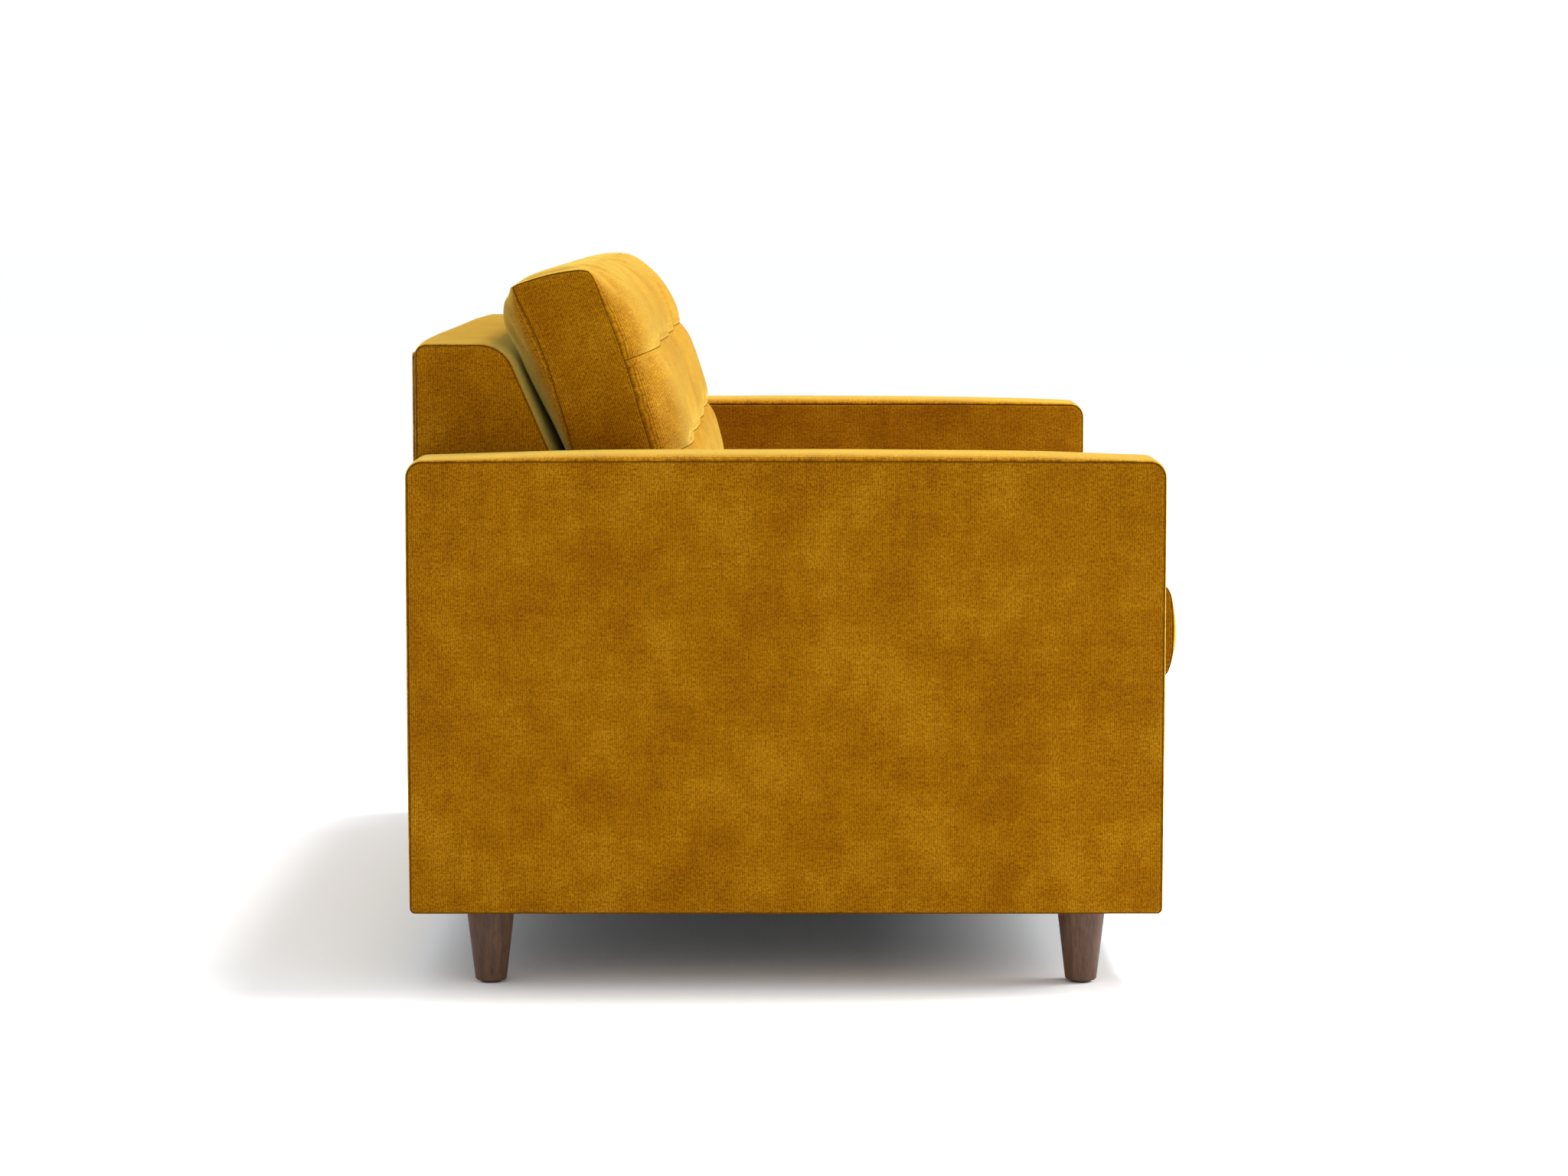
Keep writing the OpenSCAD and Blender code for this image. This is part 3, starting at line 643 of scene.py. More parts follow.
def back_frame():
    half = max(abs(v.x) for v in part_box("back_side_panel_left")) - 0.5 * MM
    corners = back_profile()
    counts = [12, 28, 6, 18, 5]
    deck, top = corners[0][1], corners[2][1]
    first = 2 * (ARC_STEPS + 1) + counts[0] - 1
    path, normals = ring(corners, 0, counts)
    path = join(path[first:], path[:1])
    normals = join(normals[first:], normals[:1])
    path[0, 1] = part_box("back_rear_cover")[0].z + 1 * MM
    rearward = np.clip(normals[:, 0], 0, 1) ** 2
    upward = np.clip(normals[:, 1], 0, 1) ** 2
    forward = np.clip(-normals[:, 0], 0, 1) ** 2
    crown = (6.5 * upward + 4.1 * rearward + 6.5 * forward * (1 - upward)) * MM
    thick = (3 - 1.5 * rearward) * MM

    def at(c, s, p):
        wave = 0.5 * MM * ripple(stacked(c, s, 0), 0.25, 21) * (1 - np.abs(c / half) ** 8)
        return stacked(c, p[:, 0], p[:, 1] + wave * smooth(deck, top, p[:, 1]))

    band = sewn_band("back_frame_band", path, normals, half, crown, thick, False, at)
    piece_done(band, ["back_band", "back_padding"])

    for hand, side in SIDES.items():
        def place(a, b, depth, side=side):
            a, b = np.asarray(a, float), np.asarray(b, float)
            soft = 0.3 * MM * ripple(stacked(0, a, b), 0.15, 8)
            x = half - depth - 0.4 * MM + soft * smooth(0, 2 * MM, depth + 2 * MM)
            return stacked(side * x, a, b)

        panel = sewn_panel(f"back_frame_side_panel_{hand}", corners, [20, 29, 20, 18, 2], place, VELVET,
                           HEM[:-1], 14)
        piece_done(panel, ["back_side_panel_" + hand])
        edge_seam(f"back_frame_seam_{hand}", corners, counts, place)


def rear_panel():
    """Panel tacked across the back, from under the top edge down to the bottom."""
    low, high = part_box("back_rear_cover")
    half = high.x - 2.5 * MM
    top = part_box("back_band")[1].z - 14 * MM
    corners = rectangle(half, low.z, top, 4 * MM, 10 * MM)
    middle_z, reach_z = (low.z + top) / 2, (top - low.z) / 2

    def place(a, b, depth):
        inside = (1 - np.abs(a / half) ** 4) * (1 - np.abs((b - middle_z) / reach_z) ** 4)
        soft = 0.5 * MM * ripple(stacked(a, 0, b), 0.3, 31) * smooth(0, 0.3, inside)
        y = high.y - 0.3 * MM - 0.7 * depth + 2.2 * MM * np.clip(inside, 0, 1) ** 0.6 + soft
        return stacked(a, y, b)

    panel = sewn_panel("back_rear_panel", corners, [50, 30, 50, 30], place, VELVET)
    piece_done(panel, ["back_rear_cover"])


FRONT_PROFILE_LOW = [(60, 0.4), (20, 0), (7, 0.6), (2, 4), (0.3, 12), (-1.2, 60)]
FRONT_PROFILE_HIGH = [(-1.2, -60), (0.3, -16), (3.5, -5), (10, -1.2), (20, -0.4), (66, -0.6)]


def front_panel():
    """Padded front of the seat box, rolled over the deck's front edge."""
    low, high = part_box("front_panel_cover")
    half = high.x
    front, bottom, top = low.y, low.z, high.z
    profile = [(front + y * MM, bottom + z * MM) for y, z in FRONT_PROFILE_LOW]
    profile.append((front - 2 * MM, (bottom + top) / 2))
    profile += [(front + y * MM, top + z * MM) for y, z in FRONT_PROFILE_HIGH]
    outer = spline(profile, 70)
    tangent = np.gradient(outer, axis=0)
    tangent /= np.linalg.norm(tangent, axis=1)[:, None]
    thick = np.where(np.abs(tangent[:, 0:1]) > 0.7, 0.8, 4) * MM
    inner = outer + stacked(tangent[:, 1], -tangent[:, 0]) * thick
    loop = join(outer, inner[::-1])
    s = along(outer)
    v = close(join(s, s[::-1]))
    rows, weave = [], []
    for x in join([-1], np.linspace(-0.995, 0.995, 70), [1]) * half:
        flat = 1 - 0.8 * np.clip(1 - (half - abs(x)) / 0.05, 0, 1) ** 2
        p = stacked(x, loop[:, 0], loop[:, 1])
        p[:, 1] = front + (p[:, 1] - front) * np.where(p[:, 1] < front, flat, 1)
        p[:len(outer), 1] += 0.4 * MM * ripple(p[:len(outer)], 0.2, 41)
        rows.append(close(p))
        weave.append(stacked(x, v))
    shell = Shell()
    shell.grid(np.array(rows), np.array(weave), True)
    panel = shell.build("seat_front_panel", VELVET)
    piece_done(panel, ["front_panel_cover", "front_panel_padding"])


def deck():
    """Quilted pad over the springs, wrapped in lining cloth, seen when the seat cushions are lifted."""
    low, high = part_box("deck_cloth")
    thick = high.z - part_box("deck_pad")[0].z
    corners = rectangle(high.x, low.y, high.y, 3 * MM, 3 * MM)
    edge = [(1.2, thick / MM), (0.3, thick / MM - 1), (0.2, thick / MM * 0.5),
            (0.5, 1.6), (1.2, 0.7), (2.6, 0.2), (4.5, 0.02), (8, 0), (14, 0)]

    def place(a, b, depth):
        channels = bell((a + 0.09) % 0.18 - 0.09, 3.5 * MM) + bell((b + 0.09) % 0.18 - 0.09, 3.5 * MM)
        dip = (0.3 * (1 + ripple(stacked(a, b, 0), 0.07, 51)) + 1.3 * channels) * MM
        return stacked(a, b, high.z - depth - np.clip(dip, 0, 2 * MM) * (depth == 0))

    lining = sewn_panel("deck_lining", corners, [110, 60, 110, 60], place, BLACK_CLOTH, edge)
    piece_done(lining, ["deck_cloth", "deck_pad"])


def dust_cover():
    """Thin cloth stapled under the seat box, sagging a little between the rails."""
    low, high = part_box("dust_cover")
    half = high.x - 4 * MM
    y0, y1 = low.y + 4 * MM, high.y - 4 * MM

    def place(a, b, depth):
        u, v = np.clip(1 - np.abs(a / half), 0, 1), np.clip(1 - np.abs(2 * (b - y0) / (y1 - y0) - 1), 0, 1)
        away = np.clip(u * half / 0.06, 0, 1) * np.clip(v * (y1 - y0) / 2 / 0.06, 0, 1)
        centre = smooth(0, 0.12, np.abs(a))
        soft = ripple(stacked(a, b, 0), 0.16, 61)
        sag = away * centre * (3.5 + 1.0 * soft) * MM * (depth == 0)
        return stacked(a, b, low.z + 0.1 * MM + depth * 0.25 - sag)

    corners = rectangle(half, y0, y1, 3 * MM, 3 * MM)
    cloth = sewn_panel("dust_cover_cloth", corners, [60, 40, 60, 40], place, BLACK_CLOTH)
    piece_done(cloth, ["dust_cover"])
    staples(half, y0, y1, low.z)


def staples(half, y0, y1, z):
    """Wire staples round the dust cover."""
    wire, length, pitch, margin = 0.5 * MM, 9 * MM, 62 * MM, 9 * MM
    shell = Shell()
    spots = []
    for x in np.arange(-half + 0.04, half - 0.03, pitch):
        spots += [(x, y0 + margin, 0.15), (x, y1 - margin, -0.12)]
    for y in np.arange(y0 + 0.05, y1 - 0.04, pitch):
        spots += [(half - margin, y, 1.5), (-half + margin, y, 1.65)]
    for x, y, turn in spots:
        c, s = math.cos(turn), math.sin(turn)
        line = np.linspace(-length / 2, length / 2, 4)
        lift = np.array([0.8, -0.3, -0.3, 0.8]) * MM
        section = wire * np.array([(1, 0), (0, 1), (-1, 0), (0, -1), (1, 0)])
        rows = []
        for along_x, up in zip(line, lift):
            across, height = section[:, 0], section[:, 1] - 0.2 * MM + up
            rows.append(stacked(x + c * along_x - s * across, y + s * along_x + c * across, z + height))
        rows = np.array(rows)
        shell.grid(rows, rows[..., :2], True)
    piece_done(shell.build("dust_cover_staples", STEEL))


# Cushions

END_STEPS = np.array([0, 0.25, 0.7, 1.3, 2.2, 3.5, 5.2, 7.5, 10.5, 14.5, 19.5]) * MM
PANEL_HEM = [(1.1, 3.0), (1.1, 1.5), (1.25, 0.6), (1.7, 0.15), (2.6, 0.0)]
HEM_DEPTH = 3 * MM
HEM_INSET = 0.7 * MM
PANEL_PROUD = 0.5 * MM
END_PUFF = 1.6 * MM


def stations(width, step):
    """Distances from one end: close together near both end seams."""
    middle = np.linspace(END_STEPS[-1], width - END_STEPS[-1], int(width / step))[1:-1]
    return join(END_STEPS, middle, (width - END_STEPS)[::-1])


def front_samples(top, bottom, rows, count):
    """Heights down the front, closer together at the sewn rows, always count of them."""
    dense = np.linspace(top, bottom, 4000)
    weight = 1 + sum(2.5 * bell(dense - r, 6 * MM) for r in rows)
    total = join([0], np.cumsum((weight[1:] + weight[:-1]) / 2))
    heights = np.interp(np.linspace(0, total[-1], count), total, dense)
    for r in rows:
        heights[np.argmin(np.abs(heights - r))] = r
    return heights


class Profile:
    """Closed cross-section of a cushion: rear, top, front and bottom, in order round the loop."""

    def __init__(self, rear, top, front, bottom, heights=None, long=84, short=24):
        if heights is None:
            front_curve = spline(front, long)
        else:
            curve = spline(front, 400)
            front_curve = stacked(heights, np.interp(-heights, -curve[:, 0], curve[:, 1]))
        self.sides = [spline(rear, long), spline(top, short), front_curve, spline(bottom, short)]
        self.loop = join(*(s[:-1] for s in self.sides))
        self.long, self.short = long, short

    def reach(self, values):
        """Spreads ten values round the loop: start, middle and end of each side, and two down the front."""
        a, b = self.long - 1, self.short - 1
        at = [0, a / 2, a, a + b / 2, a + b, 1.35 * a + b, 1.7 * a + b, 2 * a + b, 2 * a + 1.5 * b, 2 * (a + b)]
        return np.interp(np.arange(2 * (a + b)), at, np.array(values + values[:1], float))


def loop_normals(loop):
    """Outward normals of a closed loop that runs rear, top, front, bottom."""
    t = np.roll(loop, -1, 0) - np.roll(loop, 1, 0)
    t /= np.linalg.norm(t, axis=1)[:, None]
    return stacked(t[:, 1], -t[:, 0])


CLOTH_FRAMES = 20
CLOTH_GRID = 8 * MM


def air_pressed(points, held):
    """Closed tube of points, stations x loop x 3, after cloth with air inside has settled.
    held is 0 to 1 per point."""
    m, n = points.shape[:2]
    index = np.arange(m * n).reshape(m, n)
    after = np.roll(index, -1, 1)
    quads = np.stack([index[:-1], after[:-1], after[1:], index[1:]], -1).reshape(-1, 4)
    ends = [index[0].tolist(), index[-1].tolist()]
    mesh = new_mesh("cloth_form", points.reshape(-1, 3), quads.tolist() + ends)
    face_outwards(mesh)
    form = new_object("cloth_form", mesh)
    scene = bpy.context.scene
    group = form.vertex_groups.new(name="held")
    flat = np.round(held.reshape(-1), 1)
    for value in np.unique(flat):
        group.add(np.nonzero(flat == value)[0].tolist(), float(value), "REPLACE")
    cloth = form.modifiers.new("cloth", "CLOTH")
    cloth.point_cache.frame_start = 1
    cloth.point_cache.frame_end = CLOTH_FRAMES
    cloth.collision_settings.use_collision = False
    rules = cloth.settings
    rules.quality = 5
    rules.mass = 0.3
    rules.tension_stiffness = rules.compression_stiffness = 15
    rules.shear_stiffness = 5
    rules.bending_stiffness = 0.5
    rules.use_pressure = True
    rules.uniform_pressure_force = 4
    rules.shrink_min = -0.035
    rules.vertex_group_mass = "held"
    rules.effector_weights.gravity = 0
    for number in range(1, CLOTH_FRAMES + 1):
        scene.frame_set(number)
    settled = form.evaluated_get(bpy.context.evaluated_depsgraph_get()).to_mesh()
    moved = np.empty(m * n * 3, np.float32)
    settled.vertices.foreach_get("co", moved)
    bpy.data.objects.remove(form)
    bpy.data.meshes.remove(mesh)
    scene.frame_set(1)
    return moved.reshape(m, n, 3).astype(float)


def thinned(at, step, keep=()):
    """Indices along at that are at least step apart, with both ends and the ones to keep."""
    fixed = sorted({0, len(at) - 1, *keep})
    chosen = [fixed[0]]
    for start, end in zip(fixed, fixed[1:]):
        parts = max(1, int((at[end] - at[start]) / step))
        for target in np.linspace(at[start], at[end], parts + 1)[1:]:
            i = int(np.argmin(np.abs(at - target)))
            if i > chosen[-1]:
                chosen.append(i)
    return np.array(chosen)


def soften(field, passes):
    """Smooths a field of stations x loop, round the loop and along the cushion."""
    for _ in range(passes):
        field = (np.roll(field, 1, 1) + 2 * field + np.roll(field, -1, 1)) / 4
        inner = (field[:-2] + 2 * field[1:-1] + field[2:]) / 4
        field = join(field[:1], inner, field[-1:])
    return field


def plumped(xs, wrap, held, slack, cap, keep):
    """The wrap after cloth simulation: it starts slack, swells, and moves no more than cap."""
    count = wrap.shape[1]
    around = along(close(wrap[len(xs) // 2]))
    columns = thinned(around[:-1], CLOTH_GRID, keep)
    rows = thinned(xs, CLOTH_GRID)
    normals = np.stack([loop_normals(line) for line in wrap])
    start = wrap - normals * (slack * (1 - held))[..., None]
    full = np.concatenate([np.repeat(xs[:, None, None], count, 1), start], -1)
    coarse = full[np.ix_(rows, columns)]
    moved = air_pressed(coarse, held[np.ix_(rows, columns)]) - coarse
    at = np.append(around[columns], around[-1])
    field = join(moved, moved[:, :1], axis=1)
    field = np.stack([[np.interp(around[:-1], at, line) for line in field[..., k]] for k in range(3)], -1)
    field = np.stack([[np.interp(xs, xs[rows], field[:, j, k]) for j in range(count)] for k in range(3)], -1)
    field = field.transpose(1, 0, 2)
    field = soften(field, 2) * (1 - held)[..., None]
    length = np.linalg.norm(field, axis=-1, keepdims=True)
    field *= np.tanh(length / cap) * cap / np.maximum(length, 1e-9)
    return start + field[..., 1:], field[..., 0]


def cushion(name, width, start_x, ends, middle, reach, place, shape, hold, slack, cap, sewn=()):
    """Boxed cushion: a wrap round the front, top and rear, and a panel sewn in at each end.
    place gives points in the sofa, shape moves the wrap, and hold says where cloth can't move."""
    xs = stations(width, 6 * MM)
    count = len(ends.loop)
    s_loop, m_loop = ends.loop, middle.loop
    normals = loop_normals(s_loop)
    length = along(close(m_loop))
    from_end = np.minimum(xs, width - xs)[:, None]
    rise = (1 - (1 - np.clip(from_end / reach[None], 0, 1)) ** 2) ** 0.56
    wrap = s_loop[None] + (m_loop - s_loop)[None] * rise[..., None]
    wrap = shape(xs, wrap, rise)
    across = np.zeros(wrap.shape[:2])
    held, keep = hold(xs, wrap)
    wrap, across = plumped(xs, wrap, held, slack, cap, keep)
    hem = s_loop - normals * HEM_INSET
    rows = join(hem[None], wrap, hem[None])
    rows = join(rows, rows[:, :1], axis=1)
    x_rows = join([HEM_DEPTH], xs, [width - HEM_DEPTH])
    x_grid = np.repeat(x_rows[:, None], count + 1, 1)
    moved_grid = x_grid + np.pad(join(across, across[:, :1], axis=1), ((1, 1), (0, 0)))
    shell, seams = Shell(), Shell()
    shell.grid(place(start_x + moved_grid, rows[..., 0], rows[..., 1]), stacked(x_grid, length[None]))
    corner = [0, ends.long - 1, ends.long + ends.short - 2, 2 * ends.long + ends.short - 3]
    for end, out in ((0.0, -1), (width, 1)):
        loops = np.array([hem] + [s_loop - normals * inset * MM for inset, _ in PANEL_HEM])
        depths = np.array([HEM_DEPTH] + [depth * MM - PANEL_PROUD for _, depth in PANEL_HEM])
        grid = join(loops, loops[:, :1], axis=1)
        x = end - out * depths[:, None] * np.ones(count + 1)
        shell.grid(place(start_x + x, grid[..., 0], grid[..., 1]), grid[..., ::-1])
        p = loops[-1]

        def run(i, j):
            return p[[q % count for q in range(corner[i], (corner[j] if j else count) + 1)]]

        inside = coons(run(0, 1), run(1, 2), run(2, 3)[::-1], run(3, 0)[::-1])
        u = np.linspace(0, 1, inside.shape[1])[None]
        v = np.linspace(0, 1, inside.shape[0])[:, None]
        swell = END_PUFF * (16 * u * (1 - u) * v * (1 - v)) ** 0.45
        x = end + out * (PANEL_PROUD + swell)
        shell.grid(place(start_x + x, inside[..., 0], inside[..., 1]), inside[..., ::-1])
        # Dark cords in the end seams and along the sewn rows: painted seam shadow.
        line = s_loop - normals * 0.55 * MM
        tube(seams, place(np.full(count, start_x + end - out * 0.75 * MM), line[:, 0], line[:, 1]), 0.8 * MM)
    for column in sewn:
        line = wrap[1:-1, column]
        tube(seams, place(start_x + xs[1:-1] + across[1:-1, column], line[:, 0], line[:, 1]), 0.6 * MM, False)
    return shell.build(name + "_upholstery", VELVET), seams.build(name + "_seams", SEAM_SHADE)


LEAN = math.radians(18.4)
CUSHION_REAR = [(2, 3), (9, 1.0), (60, 2), (120, 5), (180, 8.5), (241, 11), (290, 11.5), (335, 8), (370, 3),
                (385.5, 2.2)]
CUSHION_TOP = [(385.5, 2.2), (387, 7), (387.3, 20), (387, 36.5), (385.6, 55), (383, 72), (379.5, 88),
               (375, 97.5)]
CUSHION_FRONT = [(375, 97.5), (368, 100.6), (351.6, 101.7), (306.7, 103.6), (246, 105.5), (182.7, 102.6),
                 (141.9, 101.5), (90, 101), (40, 100), (0, 98.5), (-20, 95), (-28, 88)]
CUSHION_BOTTOM = [(-28, 88), (-27, 81), (-20, 60), (-10, 30), (-3.5, 10), (-1.5, 5), (2, 3)]
CROWN_REAR = [(0, 3), (8, 0), (30, -0.3), (50, 0), (85, 0), (115, 0), (150, -3.5), (200, -10), (250, -17.5),
              (300, -24), (335, -27), (357, -26), (372, -20), (382, -12), (388, -4.5)]
CROWN_TOP = [(388, -4.5), (391.5, 7), (392.5, 25), (392.5, 45), (391, 65), (388, 83), (384, 97), (380, 105)]
CROWN_FRONT = [(380, 105), (375, 111), (365, 120), (352, 128.5), (340, 135), (329, 140.5), (317, 145),
               (307, 148), (286, 152), (266, 154.5), (246, 156), (216, 157.5), (180, 158), (150, 158),
               (120, 157), (90, 154.5), (53, 150), (20, 141), (-5, 129), (-22, 116), (-34, 100)]
CROWN_BOTTOM = [(-34, 100), (-32, 92), (-20, 60), (-10, 30), (-4.5, 12), (-2, 6.5), (0, 3)]
TUFT_ROWS = [256 * MM, 127 * MM]
TUFT_DEPTH = 30 * MM
BACK_SLACK = 3 * MM
BACK_CAP = 5 * MM
BACK_ZIP_HEIGHT = 85 * MM


def millimetres(*sides):
    return [np.array(side) * MM for side in sides]


def tufted(width, long, short, seed):
    """Moves the wrap in at the sewn rows and deepest at the tufts on the centre line."""
    def shape(xs, wrap, rise):
        front = slice(long + short - 2, 2 * long + short - 3)
        t = wrap[:, front, 0]
        inward = np.zeros_like(t)
        dx = (xs - width / 2)[:, None]
        full = rise[:, front]
        for row in TUFT_ROWS:
            dt = t - row
            inward += TUFT_DEPTH / (1 + (dx / (46 * MM)) ** 2 + (dt / (31 * MM)) ** 2)
            inward += 3 * MM * np.exp(-(dx ** 2 + dt ** 2) / (6 * MM) ** 2)
            inward += (3.2 * bell(dt, 2.2 * MM) + 2.6 * bell(dt, 12 * MM)) * MM * (0.35 + 0.65 * full)
            gather = ripple(stacked(xs[:, None] + 0 * t, row, 0), 17 * MM, seed + int(row * 1000))
            gather = gather * bell(dt, 17 * MM) * (1 - bell(dt, 2 * MM))
            near = 0.12 + 0.9 * bell(dx, 70 * MM)
            inward += 0.35 * MM * gather * near * full
            angle = np.arctan2(dt, dx * 0.8)
            distance = np.hypot(dx, dt)
            pleats = np.cos(7 * angle + 1.3 * np.sin(2 * angle + seed)) * bell(distance, 55 * MM)
            inward += 0.9 * MM * pleats * smooth(4 * MM, 22 * MM, distance)
        inward += 0.9 * MM * ripple(stacked(xs[:, None], t, 0), 0.13, seed) * full
        wrap[:, front, 1] -= inward * smooth(-30 * MM, 40 * MM, t)
        return wrap
    return shape


def ends_held(xs, width, near=36 * MM):
    """1 at both end seams, falling to 0."""
    return (1 - smooth(0, near, np.minimum(xs, width - xs)))[:, None]


def back_held(width, long, short):
    """Cloth is held at the seams, the sewn rows and the tufts, and where the cushion rests."""
    def hold(xs, wrap):
        a, b = long - 1, short - 1
        t = wrap[..., 0]
        column = np.arange(wrap.shape[1])
        front = (column >= a + b) & (column <= 2 * a + b)
        rows = np.zeros(t.shape)
        for row in TUFT_ROWS:
            dx = (xs - width / 2)[:, None]
            tuft = np.exp(-(dx ** 2 + (t - row) ** 2) / (14 * MM) ** 2)
            rows = np.maximum.reduce([rows, bell(t - row, 4.5 * MM), tuft])
        rear = (column < a) * (1 - smooth(0.26, 0.34, t))
        foot = np.maximum(column >= 2 * a + b, front * (1 - smooth(-0.02, 0.03, t)))
        held = np.maximum.reduce([rows * front, rear, foot, ends_held(xs, width) + 0 * t])
        middle = wrap[len(xs) // 2, a + b:2 * a + b + 1, 0]
        keep = [a + b + int(np.argmin(np.abs(middle - row))) for row in TUFT_ROWS] + [a, a + b]
        return np.clip(held, 0, 1), sorted(keep)
    return hold


TAPE_SECTION = [(-13, 0.6), (-13, -0.2), (-12.5, -0.5), (-4.2, -0.6), (-3.1, -1.0), (-2.7, -0.1), (2.7, -0.1),
                (3.1, -1.0), (4.2, -0.6), (12.5, -0.5), (13, -0.2), (13, 0.6), (-13, 0.6)]
TOOTH_LEVELS = [(0.1, 1.0), (-0.7, 1.0), (-1.0, 0.6)]
TOOTH_PITCH = 1.25 * MM
TOOTH_MARGIN = 6 * MM
COVER_GAP = 2.2 * MM


def zip_fastener(hand, kind, place):
    """Tape with two folded edges and interlocked teeth, on the cushion's rear face."""
    low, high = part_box(f"{kind}_zip_{hand}")
    section = np.array(TAPE_SECTION) * MM
    xs = np.linspace(low.x, high.x, 80)
    grid_x = np.repeat(xs[:, None], len(section), 1)
    tape = Shell()
    tape.grid(place(grid_x, section[:, 0] + 0 * grid_x, section[:, 1] + 0 * grid_x),
              stacked(grid_x, section[:, 0]), True)
    body = f"{kind}_cushion_{hand}"
    piece_done(tape.build(f"{kind}_zip_tape_{hand}", ZIP_TAPE), [f"{kind}_zip_{hand}"],
               body=body)
    teeth = Shell()
    square = np.array([(-1, -1), (1, -1), (1, 1), (-1, 1), (-1, -1)])
    for i in range(int((high.x - low.x - 2 * TOOTH_MARGIN) / TOOTH_PITCH)):
        centre_t = (0.9 if i % 2 else -0.9) * MM
        levels = []
        for depth, size in TOOTH_LEVELS:
            x = low.x + TOOTH_MARGIN + i * TOOTH_PITCH + square[:, 0] * 0.5 * MM * size
            levels.append(place(x, centre_t + square[:, 1] * 1.35 * MM * size, np.full(5, depth * MM)))
        levels = np.array(levels)
        teeth.grid(levels, levels[..., :2], True)
    piece_done(teeth.build(f"{kind}_zip_teeth_{hand}", COIL), body=body)


def cushion_done(kind, hand, piece, seams, filling):
    body = f"{kind}_cushion_{hand}"
    piece_done(seams, body=body)
    piece_done(piece, [f"{kind}_cover_{hand}", f"{kind}_{filling}_{hand}"], body)


def cushion_width(kind):
    low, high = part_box(kind + "_cover_left")
    return high.x - low.x - 2 * COVER_GAP


def back_cushions():
    width = cushion_width("back")
    foot_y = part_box("back_band")[0].y + 2.5 * MM
    foot_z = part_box("seat_cover_left")[1].z + 0.4 * MM
    sin, cos = math.sin(LEAN), math.cos(LEAN)

    def place(x, t, n):
        return stacked(x, foot_y + t * sin - n * cos, foot_z + t * cos + n * sin)

    heights = front_samples(380 * MM, -34 * MM, TUFT_ROWS, 84)
    end_heights = heights - 5 * MM * smooth(0.3, 0.38, heights) + 6 * MM * (1 - smooth(-0.034, 0.04, heights))
    ends = Profile(*millimetres(CUSHION_REAR, CUSHION_TOP, CUSHION_FRONT, CUSHION_BOTTOM), end_heights)
    middle = Profile(*millimetres(CROWN_REAR, CROWN_TOP, CROWN_FRONT, CROWN_BOTTOM), heights)
    reach = middle.reach([0.06, 0.11, 0.08, 0.09, 0.10, 0.12, 0.12, 0.10, 0.04])
    sewn = [middle.long + middle.short - 2 + int(np.argmin(np.abs(heights - row))) for row in TUFT_ROWS]
    for hand, side in SIDES.items():
        start_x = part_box("back_cover_" + hand)[0].x + COVER_GAP
        shape = tufted(width, middle.long, middle.short, 71 + side)
        hold = back_held(width, middle.long, middle.short)
        piece, seams = cushion("back_cushion_" + hand, width, start_x, ends, middle, reach, place, shape, hold,
                               BACK_SLACK, BACK_CAP, sewn)
        cushion_done("back", hand, piece, seams, "fill")
        zip_fastener(hand, "back", lambda x, t, n: place(x, t + BACK_ZIP_HEIGHT, n))


SEAT_REAR = [(4, 5), (14, 1.5), (40, 0), (90, 0), (116, 1.5), (125.5, 5.5)]
SEAT_TOP = [(125.5, 5.5), (129, 16), (129.7, 60), (130, 200), (130, 400), (129.8, 560), (129.2, 650),
            (127, 677)]
SEAT_FRONT = [(127, 677), (123.5, 684.5), (114, 690), (98, 692.5), (65, 694), (33, 692), (16, 687.5),
              (7, 679)]
SEAT_BOTTOM = [(7, 679), (3, 668), (0.5, 640), (0.2, 400), (0.2, 100), (0.8, 20), (4, 5)]
SEAT_CROWN_REAR = [(4, 3), (16, 0.5), (40, 0), (90, 0), (114, 0.5), (126, 3.5)]
SEAT_CROWN_TOP = [(126, 3.5), (129.4, 14), (129.7, 60), (130.5, 160), (134, 260), (137.5, 360), (138.5, 450),
                  (137, 540), (134.5, 610), (131.5, 652), (127.5, 679)]
SEAT_CROWN_FRONT = [(127.5, 679), (123, 688), (113, 695), (94, 700), (66, 702), (41, 699.5), (23, 692.5),
                    (9, 679)]
SEAT_CROWN_BOTTOM = [(9, 679), (3, 666), (0.2, 630), (0, 400), (0, 100), (0.4, 18), (4, 3)]
SEAT_SLACK = 2 * MM
SEAT_CAP = 5 * MM


def seat_held(width, long, short):
    """Cloth is held at the end seams and where the cushion rests on the deck and against the back."""
    def hold(xs, wrap):
        t, n = wrap[..., 0], wrap[..., 1]
        low = 1 - smooth(8 * MM, 25 * MM, t)
        rear = 1 - smooth(0.10, 0.2, n)
        held = np.maximum.reduce([low, rear, ends_held(xs, width, 24 * MM) + 0 * t])
        return np.clip(held, 0, 1), [long - 1, long + short - 2]
    return hold


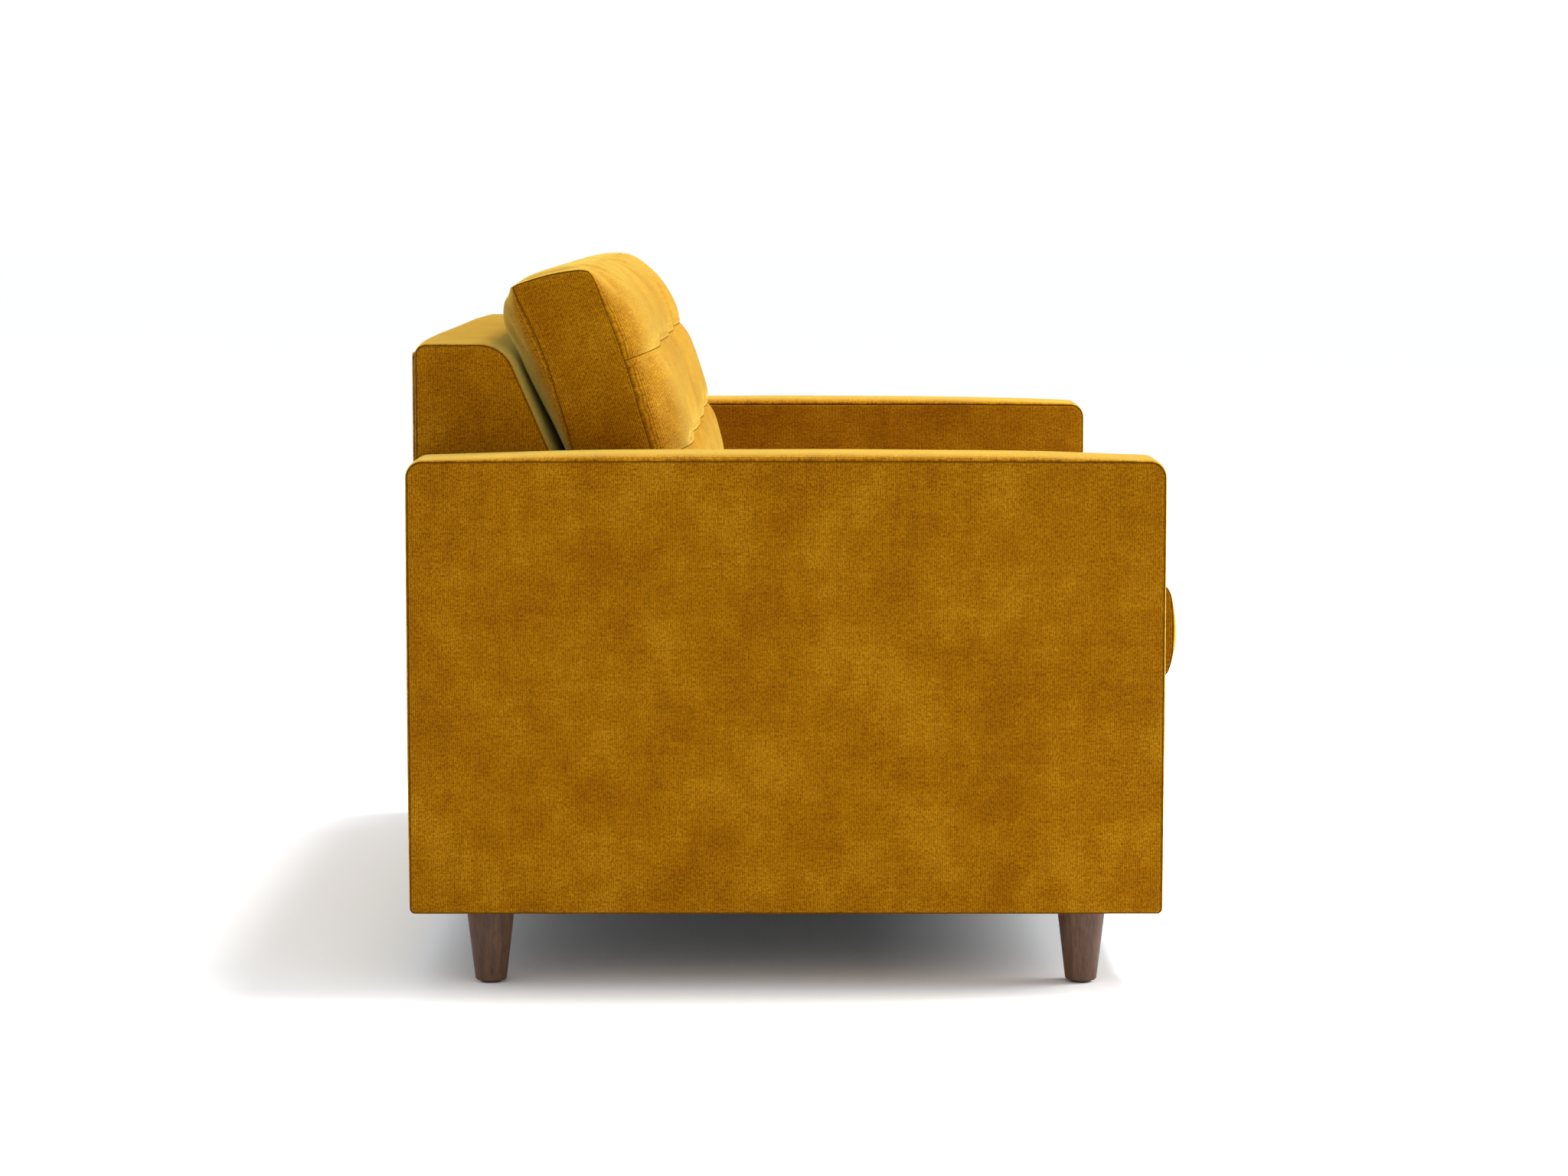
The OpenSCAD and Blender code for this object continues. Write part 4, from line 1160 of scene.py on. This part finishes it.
def seat_cushions():
    width = cushion_width("seat")
    rear_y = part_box("seat_cover_left")[1].y
    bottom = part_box("seat_cover_left")[0].z

    def place(x, t, n):
        return stacked(x, rear_y - n, bottom + t)

    ends = Profile(*millimetres(SEAT_REAR, SEAT_TOP, SEAT_FRONT, SEAT_BOTTOM), None, 40, 90)
    crown = millimetres(SEAT_CROWN_REAR, SEAT_CROWN_TOP, SEAT_CROWN_FRONT, SEAT_CROWN_BOTTOM)
    middle = Profile(*crown, None, 40, 90)
    reach = middle.reach([0.03, 0.05, 0.05, 0.16, 0.07, 0.05, 0.05, 0.05, 0.04])
    for hand, side in SIDES.items():
        start_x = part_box("seat_cover_" + hand)[0].x + COVER_GAP

        def shape(xs, wrap, rise, seed=81 + side):
            top = slice(ends.long - 1, ends.long + ends.short - 2)
            height, back = wrap[:, top, 0], wrap[:, top, 1]
            wave = ripple(stacked(xs[:, None], back, 0), 0.17, seed)
            wrap[:, top, 0] = height + 0.8 * MM * wave * rise[:, top] * smooth(0.13, 0.2, back)
            return wrap

        hold = seat_held(width, middle.long, middle.short)
        piece, seams = cushion("seat_cushion_" + hand, width, start_x, ends, middle, reach, place, shape, hold,
                               SEAT_SLACK, SEAT_CAP)
        cushion_done("seat", hand, piece, seams, "foam")
        zip_low, zip_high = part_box("seat_zip_" + hand)
        middle_z = (zip_low.z + zip_high.z) / 2
        zip_fastener(hand, "seat", lambda x, t, n: place(x, t + middle_z - bottom, n))


# Stage

FLOOR_REACH = 60
WORLD_STRENGTH = 1.07
KEY_LAMP = (0.45, -1.7, 5.0), (0.1, 0, 0.4), 2.0, 440
FILL_LAMP = (0.3, -5.0, 2.6), (0, 0, 0.45), 2.4, 265
CAMERA_PLACE = (-5.335, 0.0159, 0.971)
CAMERA_TILT = 5.82
LENS_MM = 87.58


def aim(thing, target):
    direction = np.array(target, float) - np.array(thing.location)
    yaw = math.atan2(direction[1], direction[0]) - math.pi / 2
    pitch = math.atan2(direction[2], math.hypot(direction[0], direction[1])) + math.pi / 2
    thing.rotation_euler = (pitch, 0, yaw)


def lamp(name, place, target, size, watts):
    data = bpy.data.lights.new(name, "AREA")
    data.shape = "SQUARE"
    data.size = size
    data.energy = watts
    thing = new_object(name, data)
    thing.location = place
    aim(thing, target)


def pale_floor():
    r = FLOOR_REACH
    mesh = new_mesh("floor", np.array([(-r, -r, 0), (r, -r, 0), (r, r, 0), (-r, r, 0)]), [(0, 1, 2, 3)])
    pale = Nodes("pale_floor", Base_Color=(0.925, 0.94, 0.955, 1), Roughness=0.7, Specular_IOR_Level=0.2)
    mesh.materials.append(pale.material)
    new_object("floor", mesh)


def stage():
    scene = bpy.context.scene
    scene.view_settings.view_transform = "Standard"
    pale_floor()
    world = bpy.data.worlds.new("studio")
    world.use_nodes = True
    background = world.node_tree.nodes["Background"]
    background.inputs["Color"].default_value = (1, 1, 1, 1)
    background.inputs["Strength"].default_value = WORLD_STRENGTH
    scene.world = world
    lamp("key", *KEY_LAMP)
    lamp("fill", *FILL_LAMP)
    camera = bpy.data.cameras.new("camera")
    camera.lens = LENS_MM
    camera.sensor_width = 36
    camera.sensor_fit = "HORIZONTAL"
    camera.clip_end = 200
    view = new_object("camera", camera)
    view.location = CAMERA_PLACE
    view.rotation_euler = (math.radians(90 - CAMERA_TILT), 0, math.radians(-90))
    scene.camera = view


finish_cad_nodes()
for each_side in SIDES:
    arm(each_side)
back_frame()
rear_panel()
front_panel()
deck()
dust_cover()
seat_cushions()
back_cushions()
stage()
